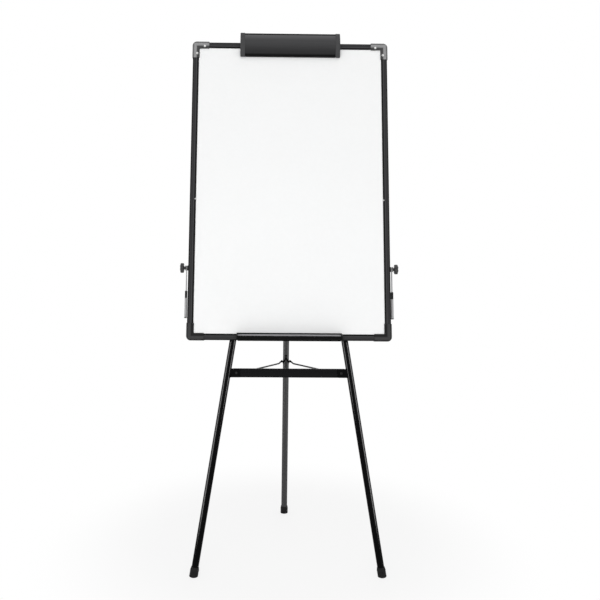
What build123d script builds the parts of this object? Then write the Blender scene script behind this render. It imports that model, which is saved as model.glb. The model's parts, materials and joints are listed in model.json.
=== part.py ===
from build123d import *
import os
from math import atan, cos, degrees, radians, sin, tan

# Whiteboard easel: a framed board on a folding tripod, with a pad clamp, a pen tray and two side arms.
# Most pieces are drawn in the leaning plane of the board: u right, v up the board, w out of its front.
# The plane w = 0 holds the axes of the two front legs and meets the floor at v = 0.

# Stance
LEAN = 8.7
LEG_SPLAY = 8.78
FOOT_SPREAD = 536.5
REAR_REACH = 454.0
BOARD_LIFT = 664.0

# Board
BOARD_WIDTH = 600.0
BOARD_HEIGHT = 913.0
BOARD_STANDOFF = 3.0
SURFACE_THICKNESS = 0.8
CORE_THICKNESS = 11.0
BACK_THICKNESS = 0.5

# Rails round the board
RAIL_FACE = 19.0
RAIL_WALL = 1.6
RAIL_FRONT_LIP = 1.25
RAIL_BACK_LIP = 3.6
RAIL_BEAD_WIDTH = 15.0
RAIL_BEAD_CREST = 9.3
RAIL_BEAD_RISE = 0.9
RAIL_SHOULDER_DROP = 2.4
PANEL_INSET = 12.0
RAIL_CORNER_RADIUS = 12.0
RAIL_SCREW_HEIGHT = 420.0
RAIL_SCREW_RADIUS = 2.4
RAIL_SCREW_HEAD = 1.1

# Corner covers
COVER_WALL = 1.3
COVER_ARM = 50.0
COVER_LAP = 1.6
COVER_EDGE_BEVEL = 0.8
HANG_HOLE_RADIUS = 3.5
HANG_HOLE_WALL = 1.5
HANG_HOLE_ALONG = 36.5
HANG_HOLE_IN = 13.2

# Tubes and feet
LEG_RADIUS = 10.0
LEG_WALL = 1.2
LEG_TOP_GAP = 10.0
PLUG_DEPTH = 3.0
PLUG_HEAD = 1.2
PLUG_BEVEL = 0.6
FOOT_WALL = 2.8
FOOT_HEIGHT = 28.0
FOOT_SOLE = 5.0
FOOT_SINK = 2.5
FOOT_ROUND = 3.5
FOOT_TAPER = 8.0
FOOT_RIM_WALL = 1.5
FOOT_GROOVE = 0.8
FOOT_GROOVE_START = 2.5
FOOT_GROOVE_PITCH = 5.0
FOOT_GROOVE_COUNT = 2

# Head that joins the three legs
HEAD_DROP = 36.0
HEAD_PLATE = 2.4
HEAD_SKIRT = 26.0
HEAD_TOP_GAP = 3.0
HEAD_SIDE = 16.0
HEAD_CORNER = 6.0
HEAD_TUBE_GAP = 0.5
HINGE_OFFSET = 13.1
HINGE_PIN_RADIUS = 4.0
HINGE_EAR_RADIUS = 11.0
HINGE_EAR_GAP = 0.6
HINGE_HEAD_RADIUS = 6.5
HINGE_HEAD = 2.0
REAR_TOP = 8.0
HEAD_BOLT_RADIUS = 3.0
HEAD_BOLT_CAP_RADIUS = 5.6
HEAD_BOLT_CAP = 3.0
HEAD_BEVEL = 0.45
PLATE_SCREW_RADIUS = 1.8
PLATE_SCREW_CAP_RADIUS = 3.5
PLATE_SCREW_CAP = 2.0
PLATE_SCREW_SPACING = 16.0
PLATE_SCREW_BITE = 6.0

# Crossbar and its brackets
CROSSBAR_HEIGHT_UP = 569.0
CROSSBAR_HEIGHT = 26.0
CROSSBAR_DEPTH = 12.0
CROSSBAR_WALL = 1.5
CROSSBAR_END_GAP = 7.0
CROSSBAR_BEND = 2.5
BRACKET_TONGUE = 27.0
BRACKET_WALL = 2.0
BRACKET_SADDLE_HEIGHT = 24.0
CROSSBAR_SCREW_IN = 16.0
CROSSBAR_SCREW_RADIUS = 2.4
CROSSBAR_SCREW_CAP_RADIUS = 3.6
CROSSBAR_SCREW_CAP = 1.9
CROSSBAR_NUT = 3.0

# Spreader between crossbar and rear leg
SPREADER_ROD_RADIUS = 2.0
SPREADER_PIVOT_IN = 22.0
SPREADER_PIVOT_BACK = 6.0
SPREADER_TAB = 2.0
SPREADER_TAB_RADIUS = 5.0
SPREADER_END = 4.0
SPREADER_BEND_IN = 9.0
SPREADER_BENDS = (4.0, 12.0, 3.0)
SPREADER_STRADDLE = 13.5
SPREADER_DROP = 987.5
SPREADER_PIN_RADIUS = 2.0
SPREADER_HOOK = 9.0
SPREADER_HOOK_LEAD = 14.0
SPREADER_PIN_HEAD_RADIUS = 3.4
SPREADER_PIN_HEAD = 1.5
SADDLE_WALL = 1.5
SADDLE_STRAP = 8.0
SADDLE_HEIGHT = 46.0
SADDLE_ARM = 6.0
SADDLE_APEX = 9.0
SADDLE_SCREW_RADIUS = 1.5
SADDLE_SCREW_CAP_RADIUS = 2.8
SADDLE_SCREW_CAP = 1.3
SADDLE_SCREW_SPACING = 38.0

# Clips that hold the lower edge of the board on the front legs
CLIP_HEIGHT = 30.0
CLIP_WALL = 4.0
CLIP_WRAP = 4.0
CLIP_EAR = 9.0
CLIP_EAR_THICKNESS = 2.9
CLIP_BEVEL = 2.0
CLIP_SCREW_RADIUS = 1.7
CLIP_SCREW_CAP_RADIUS = 3.2
CLIP_SCREW_CAP = 1.8
CLIP_SCREW_BITE = 6.0

# Pad clamp
CLAMP_LENGTH = 307.0
CLAMP_CAP_LENGTH = 14.0
CLAMP_ABOVE = 26.0
CLAMP_BELOW = 46.0
CLAMP_SKIN = 2.0
CLAMP_LIP_FRONT = 7.0
CLAMP_BULGE = 19.0
CLAMP_TOP_FRONT = 9.5
CLAMP_LIP_RETURN = 3.6
CLAMP_BEAD_RADIUS = 1.6
CLAMP_AXLE_UP = 8.0
CLAMP_AXLE_FRONT = 6.5
CLAMP_AXLE_RADIUS = 3.0
CLAMP_BARREL_WALL = 2.0
CLAMP_WEB = 2.0
CLAMP_FLANGE = 2.0
CLAMP_EAR = 3.0
CLAMP_EAR_GAP = 0.5
CLAMP_EAR_SPACING = (-130.0, -45.0, 45.0, 130.0)
CLAMP_SPRING_PLACES = (-75.0, 75.0)
CLAMP_SPRING_WIRE = 0.8
CLAMP_SPRING_TURNS = 2.25
CLAMP_SPRING_PITCH = 2.6
CLAMP_SPRING_CLEAR = 0.6
CLAMP_CAP_PROUD = 1.0
CLAMP_CAP_BACK = 0.6
CLAMP_PAD_HEIGHT = 8.0
CLAMP_SCREW_PLACES = (-100.0, 0.0, 100.0)
CLAMP_SCREW_RADIUS = 1.8
CLAMP_SCREW_CAP_RADIUS = 3.4
CLAMP_SCREW_CAP = 1.8
CLAMP_SCREW_BITE = 6.0

# Pen tray
TRAY_LENGTH = 302.0
TRAY_DEPTH = 40.0
TRAY_WALL = 1.7
TRAY_RAISE = 2.4
TRAY_LIP = 10.7
TRAY_BACK_RISE = 3.0
TRAY_CAP = 3.0
TRAY_CAP_BEVEL = 0.9
TRAY_CORNER = 3.0
TRAY_HOOK = 1.4
TRAY_FOOT_DROP = 1.8

# Side arms
ARM_HEIGHT = 212.0
ARM_STUD_RADIUS = 3.0
ARM_STUD_HEAD_RADIUS = 4.4
ARM_STUD_HEAD = 2.6
ARM_BUSH = 4.2
ARM_HUB_RADIUS = 7.5
ARM_STRAP = 2.0
ARM_STRAP_WIDTH = 11.0
ARM_WASHER = 2.4
ARM_GUIDE_DROP = 68.0
ARM_GUIDE_LENGTH = 21.0
ARM_GUIDE_THICKNESS = 5.4
ARM_GUIDE_WIDTH = 15.0
ARM_CHANNEL_LENGTH = 57.0
ARM_CHANNEL_THICKNESS = 6.0
ARM_CHANNEL_WIDTH = 15.0
ARM_CHANNEL_WALL = 0.9
ARM_STRAP_SPARE = 8.0
ARM_TIP = 6.0
ARM_TIP_HEAD = 2.2
ARM_TIP_FLARE = 0.5
ARM_TIP_BEVEL = 1.1
KNOB_NECK = 4.0
KNOB_NECK_RADIUS = 4.6
KNOB_THICKNESS = 10.7
KNOB_RADIUS = 14.5
KNOB_LOBES = 6
KNOB_LOBE_RADIUS = 3.9
KNOB_DIP_RADIUS = 2.0
KNOB_EDGE_BEVEL = 1.6
STUD_BITE = 10.0

# Clearances: seats within one body, running fits, free gaps between moving bodies,
# and how far a cutting shape reaches past the face it cuts
SEAT = 0.05
RUN = 0.05
FREE = 0.3
PAST = 1.0

# Levels and lines worked out from the sizes above
PANEL_STACK = SURFACE_THICKNESS + CORE_THICKNESS + BACK_THICKNESS
RAIL_GROOVE = PANEL_STACK + 2 * SEAT
RAIL_LIP_LEVEL = RAIL_BACK_LIP + RAIL_GROOVE + RAIL_FRONT_LIP
RAIL_DEPTH = RAIL_LIP_LEVEL + RAIL_BEAD_RISE
W_BACK = LEG_RADIUS + BOARD_STANDOFF
W_FRONT = W_BACK + RAIL_DEPTH
W_PANEL_BACK = W_BACK + RAIL_BACK_LIP + SEAT
W_SURFACE = W_PANEL_BACK + PANEL_STACK
V_BOTTOM = BOARD_LIFT
V_TOP = BOARD_LIFT + BOARD_HEIGHT
V_HEAD = V_TOP - HEAD_DROP
HALF_WIDTH = BOARD_WIDTH / 2
W_MID_RAIL = W_BACK + (RAIL_DEPTH - RAIL_SHOULDER_DROP) / 2
W_CLEVIS_FRONT = -(LEG_RADIUS + HEAD_TUBE_GAP)
W_CLEVIS_BACK = W_CLEVIS_FRONT - HEAD_PLATE
W_HINGE = W_CLEVIS_BACK - HINGE_OFFSET
V_AXLE = V_TOP + CLAMP_AXLE_UP
W_AXLE = W_FRONT + CLAMP_AXLE_FRONT
V_KNOB = V_BOTTOM + ARM_HEIGHT
SIDES = {"left": -1, "right": 1}


def leg_u(v):
    """Distance of a front leg's axis from the middle at height v up the leaning plane."""
    return FOOT_SPREAD / 2 - v * tan(radians(LEG_SPLAY))


def to_row(u, v, w):
    """A point of the leaning plane in upright coordinates, from the middle of the front feet."""
    lean = radians(LEAN)
    return Vector(u, v * sin(lean) - w * cos(lean), v * cos(lean) + w * sin(lean))


HINGE_POINT = to_row(0, V_HEAD, W_HINGE)
REAR_FOOT_POINT = Vector(0, REAR_REACH, 0)
REAR_LEG_LENGTH = (HINGE_POINT - REAR_FOOT_POINT).length
REAR_LEAN = degrees(atan((REAR_REACH - HINGE_POINT.Y) / HINGE_POINT.Z))
FOLD_ANGLE = LEAN + REAR_LEAN
REAR_PIN_UP = REAR_LEG_LENGTH - SPREADER_DROP
PIN_V = V_HEAD - SPREADER_DROP * cos(radians(FOLD_ANGLE))
PIN_W = W_HINGE - SPREADER_DROP * sin(radians(FOLD_ANGLE))
W_SPREADER = -(CROSSBAR_DEPTH / 2 + SPREADER_PIVOT_BACK)
U_SPREADER = leg_u(CROSSBAR_HEIGHT_UP) - LEG_RADIUS - SPREADER_PIVOT_IN


def leaning():
    """Location of the leaning plane in upright coordinates."""
    lean = radians(LEAN)
    return Plane(origin=(0, 0, 0), x_dir=(1, 0, 0), z_dir=(0, -cos(lean), sin(lean))).location


def block(u0, u1, v0, v1, w0, w1):
    """Box between two opposite corners."""
    middle = Pos((u0 + u1) / 2, (v0 + v1) / 2, (w0 + w1) / 2)
    return middle * Box(abs(u1 - u0), abs(v1 - v0), abs(w1 - w0))


def rod_u(u0, u1, v, w, radius):
    """Round bar along u."""
    return Pos((u0 + u1) / 2, v, w) * Rot(0, 90, 0) * Cylinder(radius, abs(u1 - u0))


def rod_v(u, v0, v1, w, radius):
    """Round bar along v."""
    return Pos(u, (v0 + v1) / 2, w) * Rot(90, 0, 0) * Cylinder(radius, abs(v1 - v0))


def rod_w(u, v, w0, w1, radius):
    """Round bar along w."""
    return Pos(u, v, (w0 + w1) / 2) * Cylinder(radius, abs(w1 - w0))


def dome_w(u, v, w0, radius, rise, towards=1):
    """Low bolt head that rises from w0 along w, bevelled round its crown."""
    head = rod_w(u, v, w0, w0 + towards * rise, radius)
    crown = head.edges().filter_by(GeomType.CIRCLE).sort_by(Axis.Z)
    edge = crown[-1] if towards > 0 else crown[0]
    return chamfer(edge, rise * HEAD_BEVEL)


def extrude_u(face, u0, u1):
    """Extrude a face drawn as (w, v) from u0 to u1."""
    section = Plane(origin=(u1, 0, 0), x_dir=(0, 0, 1), z_dir=(-1, 0, 0)) * face
    return extrude(section, u1 - u0, dir=(-1, 0, 0))


def extrude_w(face, w0, w1):
    """Extrude a face drawn as (u, v) from w0 to w1."""
    return extrude(Pos(0, 0, w0) * face, w1 - w0, dir=(0, 0, 1))


def polygon(*points):
    """Flat face inside straight lines."""
    return make_face(Polyline(*points, close=True))


def both_sides(shape):
    """A shape and its mirror image across the middle, as separate solids."""
    return Compound(children=[shape, mirror(shape, about=Plane.YZ)])


def leg_plane(side):
    """Frame of a front leg: z up the leg from the floor, x along w, y along +u."""
    splay = radians(LEG_SPLAY)
    return Plane(origin=(side * FOOT_SPREAD / 2, 0, 0), x_dir=(0, 0, 1),
                 z_dir=(-side * sin(splay), cos(splay), 0)).location


def rear_plane():
    """Frame of the rear leg in upright coordinates: z up the leg from the floor, x along +X."""
    return Plane(origin=REAR_FOOT_POINT, x_dir=(1, 0, 0), z_dir=HINGE_POINT - REAR_FOOT_POINT).location


# Board

def hang_hole_centres(side):
    """Centres of the two holes in a top corner cover."""
    across = (side * (HALF_WIDTH - HANG_HOLE_ALONG), V_TOP - HANG_HOLE_IN)
    down = (side * (HALF_WIDTH - HANG_HOLE_IN), V_TOP - HANG_HOLE_ALONG)
    return [across, down]


def hang_hole_cutter(radius):
    """Bars through the whole board at the four holes."""
    bars = [rod_w(u, v, W_BACK - 2 * COVER_WALL, W_FRONT + 2 * COVER_WALL, radius)
            for side in SIDES.values() for u, v in hang_hole_centres(side)]
    return Compound(children=bars)


def panel_layer(w0, w1):
    """One layer of the board between two levels."""
    half = HALF_WIDTH - PANEL_INSET
    layer = block(-half, half, V_BOTTOM + PANEL_INSET, V_TOP - PANEL_INSET, w0, w1)
    bush = HANG_HOLE_RADIUS + HANG_HOLE_WALL + SEAT
    return layer - hang_hole_cutter(bush)


def rail_profile():
    """Section of a rail: x inwards from the outer edge, y forwards from the back."""
    chamber_end = PANEL_INSET - SEAT
    shoulder = RAIL_DEPTH - RAIL_SHOULDER_DROP
    groove_front = RAIL_BACK_LIP + RAIL_GROOVE
    outline = Polyline((0, shoulder), (0, 0), (RAIL_FACE, 0), (RAIL_FACE, RAIL_BACK_LIP),
                       (chamber_end, RAIL_BACK_LIP), (chamber_end, groove_front),
                       (RAIL_FACE, groove_front), (RAIL_FACE, RAIL_LIP_LEVEL),
                       (RAIL_BEAD_WIDTH, RAIL_LIP_LEVEL))
    bead = ThreePointArc((RAIL_BEAD_WIDTH, RAIL_LIP_LEVEL), (RAIL_BEAD_CREST, RAIL_DEPTH),
                         (0, shoulder))
    chamber = Pos((chamber_end) / 2, shoulder / 2) * Rectangle(chamber_end - 2 * RAIL_WALL,
                                                              shoulder - 2 * RAIL_WALL)
    return make_face(outline + bead) - chamber


def rounded_board(extra, radius, w0, w1):
    """Rounded block of the board's outline, grown by extra all round."""
    outline = RectangleRounded(BOARD_WIDTH + 2 * extra, BOARD_HEIGHT + 2 * extra, radius)
    return extrude_w(Pos(0, (V_BOTTOM + V_TOP) / 2) * outline, w0, w1)


def outer_corners():
    """What the rounding takes off the outer corners of the frame."""
    radius = RAIL_CORNER_RADIUS
    u = HALF_WIDTH - radius
    corners = []
    for su in SIDES.values():
        for v, sv in ((V_BOTTOM + radius, -1), (V_TOP - radius, 1)):
            square = block(su * u, su * (u + 2 * radius), v, v + sv * 2 * radius,
                           W_BACK - PAST, W_FRONT + PAST)
            corners.append(square - rod_w(su * u, v, W_BACK - 2 * PAST, W_FRONT + 2 * PAST, radius))
    return Compound(children=corners)


def lying_rail():
    """Bottom rail with mitred ends."""
    start = Plane(origin=(-HALF_WIDTH, V_BOTTOM, W_BACK), x_dir=(0, 1, 0), z_dir=(1, 0, 0))
    bar = extrude(start * rail_profile(), BOARD_WIDTH, dir=(1, 0, 0))
    inner = HALF_WIDTH - RAIL_FACE
    mitre = polygon((-HALF_WIDTH, V_BOTTOM), (HALF_WIDTH, V_BOTTOM), (inner, V_BOTTOM + RAIL_FACE),
                    (-inner, V_BOTTOM + RAIL_FACE))
    bar = bar & extrude_w(mitre, W_BACK - PAST, W_FRONT + PAST)
    return bar - outer_corners()


def standing_rail():
    """Left rail with mitred ends."""
    start = Plane(origin=(-HALF_WIDTH, V_BOTTOM, W_BACK), x_dir=(1, 0, 0), z_dir=(0, -1, 0))
    bar = extrude(start * rail_profile(), BOARD_HEIGHT, dir=(0, 1, 0))
    inner = HALF_WIDTH - RAIL_FACE
    mitre = polygon((-HALF_WIDTH, V_BOTTOM), (-inner, V_BOTTOM + RAIL_FACE), (-inner, V_TOP - RAIL_FACE),
                    (-HALF_WIDTH, V_TOP))
    bar = bar & extrude_w(mitre, W_BACK - PAST, W_FRONT + PAST)
    return bar - outer_corners()


def rail_screws():
    """Small screws in the inner lips of the side rails."""
    u = HALF_WIDTH - (RAIL_BEAD_WIDTH + RAIL_FACE) / 2
    level = W_BACK + RAIL_LIP_LEVEL + SEAT
    screw = rod_w(-u, V_BOTTOM + RAIL_SCREW_HEIGHT, level, level + RAIL_SCREW_HEAD, RAIL_SCREW_RADIUS)
    return both_sides(screw)


def corner_cover(top):
    """Left corner cover: a moulded shell over the mitre of two rails."""
    v_edge = V_TOP if top else V_BOTTOM
    down = -1 if top else 1
    arm = COVER_ARM
    width = RAIL_FACE + COVER_LAP
    left = -HALF_WIDTH - COVER_WALL - SEAT
    edge = v_edge - down * (COVER_WALL + SEAT)
    inner_u = -HALF_WIDTH + width
    inner_v = v_edge + down * width
    ell = polygon((left, edge), (-HALF_WIDTH + arm, edge), (-HALF_WIDTH + arm, inner_v),
                  (inner_u, inner_v), (inner_u, v_edge + down * arm), (left, v_edge + down * arm))
    w0 = W_BACK - COVER_WALL - SEAT
    w1 = W_FRONT + COVER_WALL + SEAT
    grown = COVER_WALL + SEAT
    shell = extrude_w(ell, w0, w1) & rounded_board(grown, RAIL_CORNER_RADIUS + grown, w0, w1)
    front_edges = shell.faces().sort_by(Axis.Z)[-1].edges()
    shell = chamfer(front_edges, COVER_EDGE_BEVEL)
    cavity = rounded_board(SEAT, RAIL_CORNER_RADIUS + SEAT, W_BACK - SEAT, W_FRONT + SEAT)
    inside = HALF_WIDTH - RAIL_FACE - SEAT
    cavity -= block(-inside, inside, V_BOTTOM + RAIL_FACE + SEAT, V_TOP - RAIL_FACE - SEAT,
                    W_BACK - PAST, W_FRONT + PAST)
    panel = HALF_WIDTH - PANEL_INSET
    cavity += block(-panel, panel, V_BOTTOM + PANEL_INSET, V_TOP - PANEL_INSET, W_PANEL_BACK - SEAT,
                    W_SURFACE + SEAT)
    shell -= cavity
    if top:
        for u, v in hang_hole_centres(-1):
            shell += rod_w(u, v, w0, w1, HANG_HOLE_RADIUS + HANG_HOLE_WALL)
            shell -= rod_w(u, v, w0 - PAST, w1 + PAST, HANG_HOLE_RADIUS)
    return shell


# Tripod

def tube(length, start):
    """Tube along z that starts above the floor."""
    outer = Pos(0, 0, (start + length) / 2) * Cylinder(LEG_RADIUS, length - start)
    return outer - Pos(0, 0, (start + length) / 2) * Cylinder(LEG_RADIUS - LEG_WALL, length - start)


def foot():
    """Rubber cap along z: bevelled sole, grooved wall, tapered rim and a blind hole for the tube."""
    outer = LEG_RADIUS + FOOT_WALL
    rim = LEG_RADIUS + FOOT_RIM_WALL
    bore = LEG_RADIUS + SEAT
    top = FOOT_HEIGHT - FOOT_SINK
    sole = FOOT_ROUND - FOOT_SINK
    outline = [(0, -FOOT_SINK), (outer - FOOT_ROUND, -FOOT_SINK), (outer, sole)]
    for index in range(FOOT_GROOVE_COUNT):
        groove = sole + FOOT_GROOVE_START + FOOT_GROOVE_PITCH * index
        outline += [(outer, groove), (outer - FOOT_GROOVE, groove + FOOT_GROOVE),
                    (outer, groove + 2 * FOOT_GROOVE)]
    outline += [(outer, top - FOOT_TAPER), (rim, top), (bore, top), (bore, FOOT_SOLE), (0, FOOT_SOLE)]
    return revolve(Plane.XZ * polygon(*outline), Axis.Z)


def above_floor(shape):
    """The part of an upright shape that is above the floor."""
    span = BOARD_WIDTH + REAR_REACH
    return shape - Pos(0, 0, -span / 2) * Box(4 * span, 4 * span, span)


def front_leg_length():
    """Length of a front leg's axis from the floor to its top."""
    return (V_TOP - LEG_TOP_GAP) / cos(radians(LEG_SPLAY))


def front_leg(side):
    """Front leg tube with a cross hole for the head bolt and a rivet hole for the crossbar bracket."""
    leg = leg_plane(side) * tube(front_leg_length(), FOOT_SOLE + SEAT)
    bolt = rod_w(side * leg_u(V_HEAD), V_HEAD, W_CLEVIS_BACK, W_BACK, HEAD_BOLT_RADIUS + SEAT)
    return leg - bolt


def tube_plug():
    """Plug along z that closes a tube whose end is at z = 0."""
    cap = Cylinder(LEG_RADIUS, PLUG_HEAD, align=(Align.CENTER, Align.CENTER, Align.MIN))
    cap = chamfer(cap.edges().filter_by(GeomType.CIRCLE).sort_by(Axis.Z)[-1], PLUG_BEVEL)
    stem = Cylinder(LEG_RADIUS - LEG_WALL - SEAT, PLUG_DEPTH, align=(Align.CENTER, Align.CENTER, Align.MAX))
    return cap + stem


def leg_ends(plane, length):
    """Foot and top plug of one leg, upright, its sole cut flat on the floor."""
    return [above_floor(plane * foot()), plane * Pos(0, 0, length) * tube_plug()]


def front_leg_ends():
    """Feet and plugs of the two front legs, upright."""
    ends = []
    for side in SIDES.values():
        ends += leg_ends(leaning() * leg_plane(side), front_leg_length())
    return Compound(children=ends)


def rear_leg_ends():
    """Foot and plug of the rear leg, upright."""
    return Compound(children=leg_ends(rear_plane(), REAR_LEG_LENGTH + REAR_TOP))


def head_outline():
    """Outline of the head plates: follows the legs, wider at the bottom."""
    low = V_HEAD - HEAD_SKIRT
    high = V_TOP - HEAD_TOP_GAP
    wide = leg_u(low) + HEAD_SIDE
    slim = leg_u(high) + HEAD_SIDE
    face = polygon((-wide, low), (wide, low), (slim, high), (-slim, high))
    return fillet(face.vertices(), HEAD_CORNER)


def plate_screw_places():
    """Places of the screws that hold the front head plate on the top rail."""
    v = V_TOP - (PANEL_INSET - SEAT) / 2
    return [(-PLATE_SCREW_SPACING / 2, v), (PLATE_SCREW_SPACING / 2, v)]


def head_front_plate():
    """Plate between the front legs and the back of the board."""
    plate = extrude_w(head_outline(), W_BACK - HEAD_PLATE, W_BACK)
    for side in SIDES.values():
        plate -= rod_w(side * leg_u(V_HEAD), V_HEAD, 0, W_FRONT, HEAD_BOLT_RADIUS + SEAT)
    for u, v in plate_screw_places():
        plate -= rod_w(u, v, 0, W_FRONT, PLATE_SCREW_RADIUS + SEAT)
    return plate


def head_clevis():
    """Plate behind the front legs with two ears for the rear leg."""
    plate = extrude_w(head_outline(), W_CLEVIS_BACK, W_CLEVIS_FRONT)
    inner = LEG_RADIUS + HINGE_EAR_GAP
    foot_line = W_CLEVIS_BACK + SEAT
    root = Polyline((foot_line, V_HEAD + HINGE_EAR_RADIUS), (foot_line, V_HEAD - HEAD_SKIRT),
                    (W_HINGE, V_HEAD - HINGE_EAR_RADIUS))
    nose = ThreePointArc((W_HINGE, V_HEAD - HINGE_EAR_RADIUS), (W_HINGE - HINGE_EAR_RADIUS, V_HEAD),
                         (W_HINGE, V_HEAD + HINGE_EAR_RADIUS))
    back = Line((W_HINGE, V_HEAD + HINGE_EAR_RADIUS), (foot_line, V_HEAD + HINGE_EAR_RADIUS))
    ear = extrude_u(make_face(root + nose + back), inner, inner + HEAD_PLATE)
    clevis = plate + ear + mirror(ear, about=Plane.YZ)
    clevis -= rod_u(-3 * inner, 3 * inner, V_HEAD, W_HINGE, HINGE_PIN_RADIUS + SEAT)
    for side in SIDES.values():
        clevis -= rod_w(side * leg_u(V_HEAD), V_HEAD, W_CLEVIS_BACK - PAST, 0, HEAD_BOLT_RADIUS + SEAT)
    return clevis


def head_bolt():
    """Bolt through the right leg and both head plates, its head at the back."""
    u = leg_u(V_HEAD)
    shank = rod_w(u, V_HEAD, W_CLEVIS_BACK, W_BACK - SEAT, HEAD_BOLT_RADIUS)
    return shank + dome_w(u, V_HEAD, W_CLEVIS_BACK, HEAD_BOLT_CAP_RADIUS, HEAD_BOLT_CAP, -1)


def hinge_pin():
    """Pin of the rear leg, riveted over outside the ears."""
    ear = LEG_RADIUS + HINGE_EAR_GAP + HEAD_PLATE
    pin = rod_u(-ear - HINGE_HEAD, ear + HINGE_HEAD, V_HEAD, W_HINGE, HINGE_PIN_RADIUS)
    head = rod_u(ear, ear + HINGE_HEAD, V_HEAD, W_HINGE, HINGE_HEAD_RADIUS)
    head = chamfer(head.edges().filter_by(GeomType.CIRCLE).sort_by(Axis.X)[-1], HINGE_HEAD * HEAD_BEVEL)
    return pin + head + mirror(head, about=Plane.YZ)


def rear_leg():
    """Rear leg tube with cross holes for the hinge pin and the spreader pin, upright."""
    leg = tube(REAR_LEG_LENGTH + REAR_TOP, FOOT_SOLE + SEAT)
    leg -= Pos(0, 0, REAR_LEG_LENGTH) * Rot(0, 90, 0) * Cylinder(HINGE_PIN_RADIUS + RUN, 4 * LEG_RADIUS)
    leg -= Pos(0, 0, REAR_PIN_UP) * Rot(0, 90, 0) * Cylinder(SPREADER_PIN_RADIUS + SEAT, 4 * LEG_RADIUS)
    for height in saddle_screw_heights():
        hole = Pos(0, -LEG_RADIUS, height) * Rot(90, 0, 0)
        leg -= hole * Cylinder(SADDLE_SCREW_RADIUS + SEAT, LEG_RADIUS)
    return rear_plane() * leg


# Crossbar and spreader

def crossbar_half():
    """Half length of the crossbar."""
    return leg_u(CROSSBAR_HEIGHT_UP) - LEG_RADIUS - CROSSBAR_END_GAP


def crossbar_screw_u():
    """Distance of a crossbar screw from the middle."""
    return leg_u(CROSSBAR_HEIGHT_UP) - LEG_RADIUS - CROSSBAR_SCREW_IN


def crossbar():
    """Channel open to the back, with a pivot tab near each end."""
    half = CROSSBAR_HEIGHT / 2
    front = CROSSBAR_DEPTH / 2
    outer = Pos(0, CROSSBAR_HEIGHT_UP) * Rectangle(CROSSBAR_DEPTH, CROSSBAR_HEIGHT)
    outer = fillet(outer.vertices().group_by(Axis.X)[-1], CROSSBAR_BEND)
    inner = Pos(-CROSSBAR_WALL, CROSSBAR_HEIGHT_UP) * Rectangle(CROSSBAR_DEPTH,
                                                                CROSSBAR_HEIGHT - 2 * CROSSBAR_WALL)
    inner = fillet(inner.vertices().group_by(Axis.X)[-1], CROSSBAR_BEND - CROSSBAR_WALL)
    bar = extrude_u(outer - inner, -crossbar_half(), crossbar_half())
    tab_front = front - CROSSBAR_WALL / 2
    inside = half - CROSSBAR_WALL / 2
    tab = polygon((tab_front, CROSSBAR_HEIGHT_UP - inside), (tab_front, CROSSBAR_HEIGHT_UP + inside),
                  (-front, CROSSBAR_HEIGHT_UP + inside),
                  (W_SPREADER, CROSSBAR_HEIGHT_UP + SPREADER_TAB_RADIUS),
                  (W_SPREADER, CROSSBAR_HEIGHT_UP - SPREADER_TAB_RADIUS),
                  (-front, CROSSBAR_HEIGHT_UP - inside))
    tab = tab + Pos(W_SPREADER, CROSSBAR_HEIGHT_UP) * Circle(SPREADER_TAB_RADIUS)
    solid = extrude_u(tab, U_SPREADER - SPREADER_TAB / 2, U_SPREADER + SPREADER_TAB / 2)
    bar = bar + solid + mirror(solid, about=Plane.YZ)
    length = 2 * crossbar_half()
    bar -= rod_u(-length, length, CROSSBAR_HEIGHT_UP, W_SPREADER, SPREADER_ROD_RADIUS + RUN)
    for side in SIDES.values():
        bar -= rod_w(side * crossbar_screw_u(), CROSSBAR_HEIGHT_UP, 0, 2 * front,
                     CROSSBAR_SCREW_RADIUS + SEAT)
    return bar


def crossbar_bracket(side):
    """Bracket of one leg: a saddle against the tube and a tongue over the end of the crossbar."""
    centre = leg_u(CROSSBAR_HEIGHT_UP)
    front = CROSSBAR_DEPTH / 2 + SEAT
    half = CROSSBAR_HEIGHT / 2
    inner = centre - LEG_RADIUS - BRACKET_TONGUE
    tongue = block(side * inner, side * centre, CROSSBAR_HEIGHT_UP - half, CROSSBAR_HEIGHT_UP + half,
                   front, front + BRACKET_WALL)
    corners = tongue.edges().filter_by(Axis.Z).sort_by(Axis.X)
    tongue = fillet(corners[:2] if side > 0 else corners[-2:], CROSSBAR_BEND)
    up = CROSSBAR_HEIGHT_UP / cos(radians(LEG_SPLAY))
    ring = Cylinder(LEG_RADIUS + SEAT + BRACKET_WALL, BRACKET_SADDLE_HEIGHT)
    reach = 2 * LEG_RADIUS
    keep = Pos((front + BRACKET_WALL) / 2 - LEG_RADIUS, -side * reach / 2, 0) * Box(
        front + BRACKET_WALL + 2 * LEG_RADIUS, reach, BRACKET_SADDLE_HEIGHT)
    saddle = leg_plane(side) * Pos(0, 0, up) * (ring & keep)
    bore = leg_plane(side) * Pos(0, 0, up) * Cylinder(LEG_RADIUS + SEAT, 4 * CROSSBAR_HEIGHT)
    bracket = tongue + saddle - bore
    bracket -= rod_w(side * crossbar_screw_u(), CROSSBAR_HEIGHT_UP, 0, 2 * front + BRACKET_WALL,
                     CROSSBAR_SCREW_RADIUS + SEAT)
    return max(bracket.solids(), key=lambda solid: solid.volume)


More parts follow.
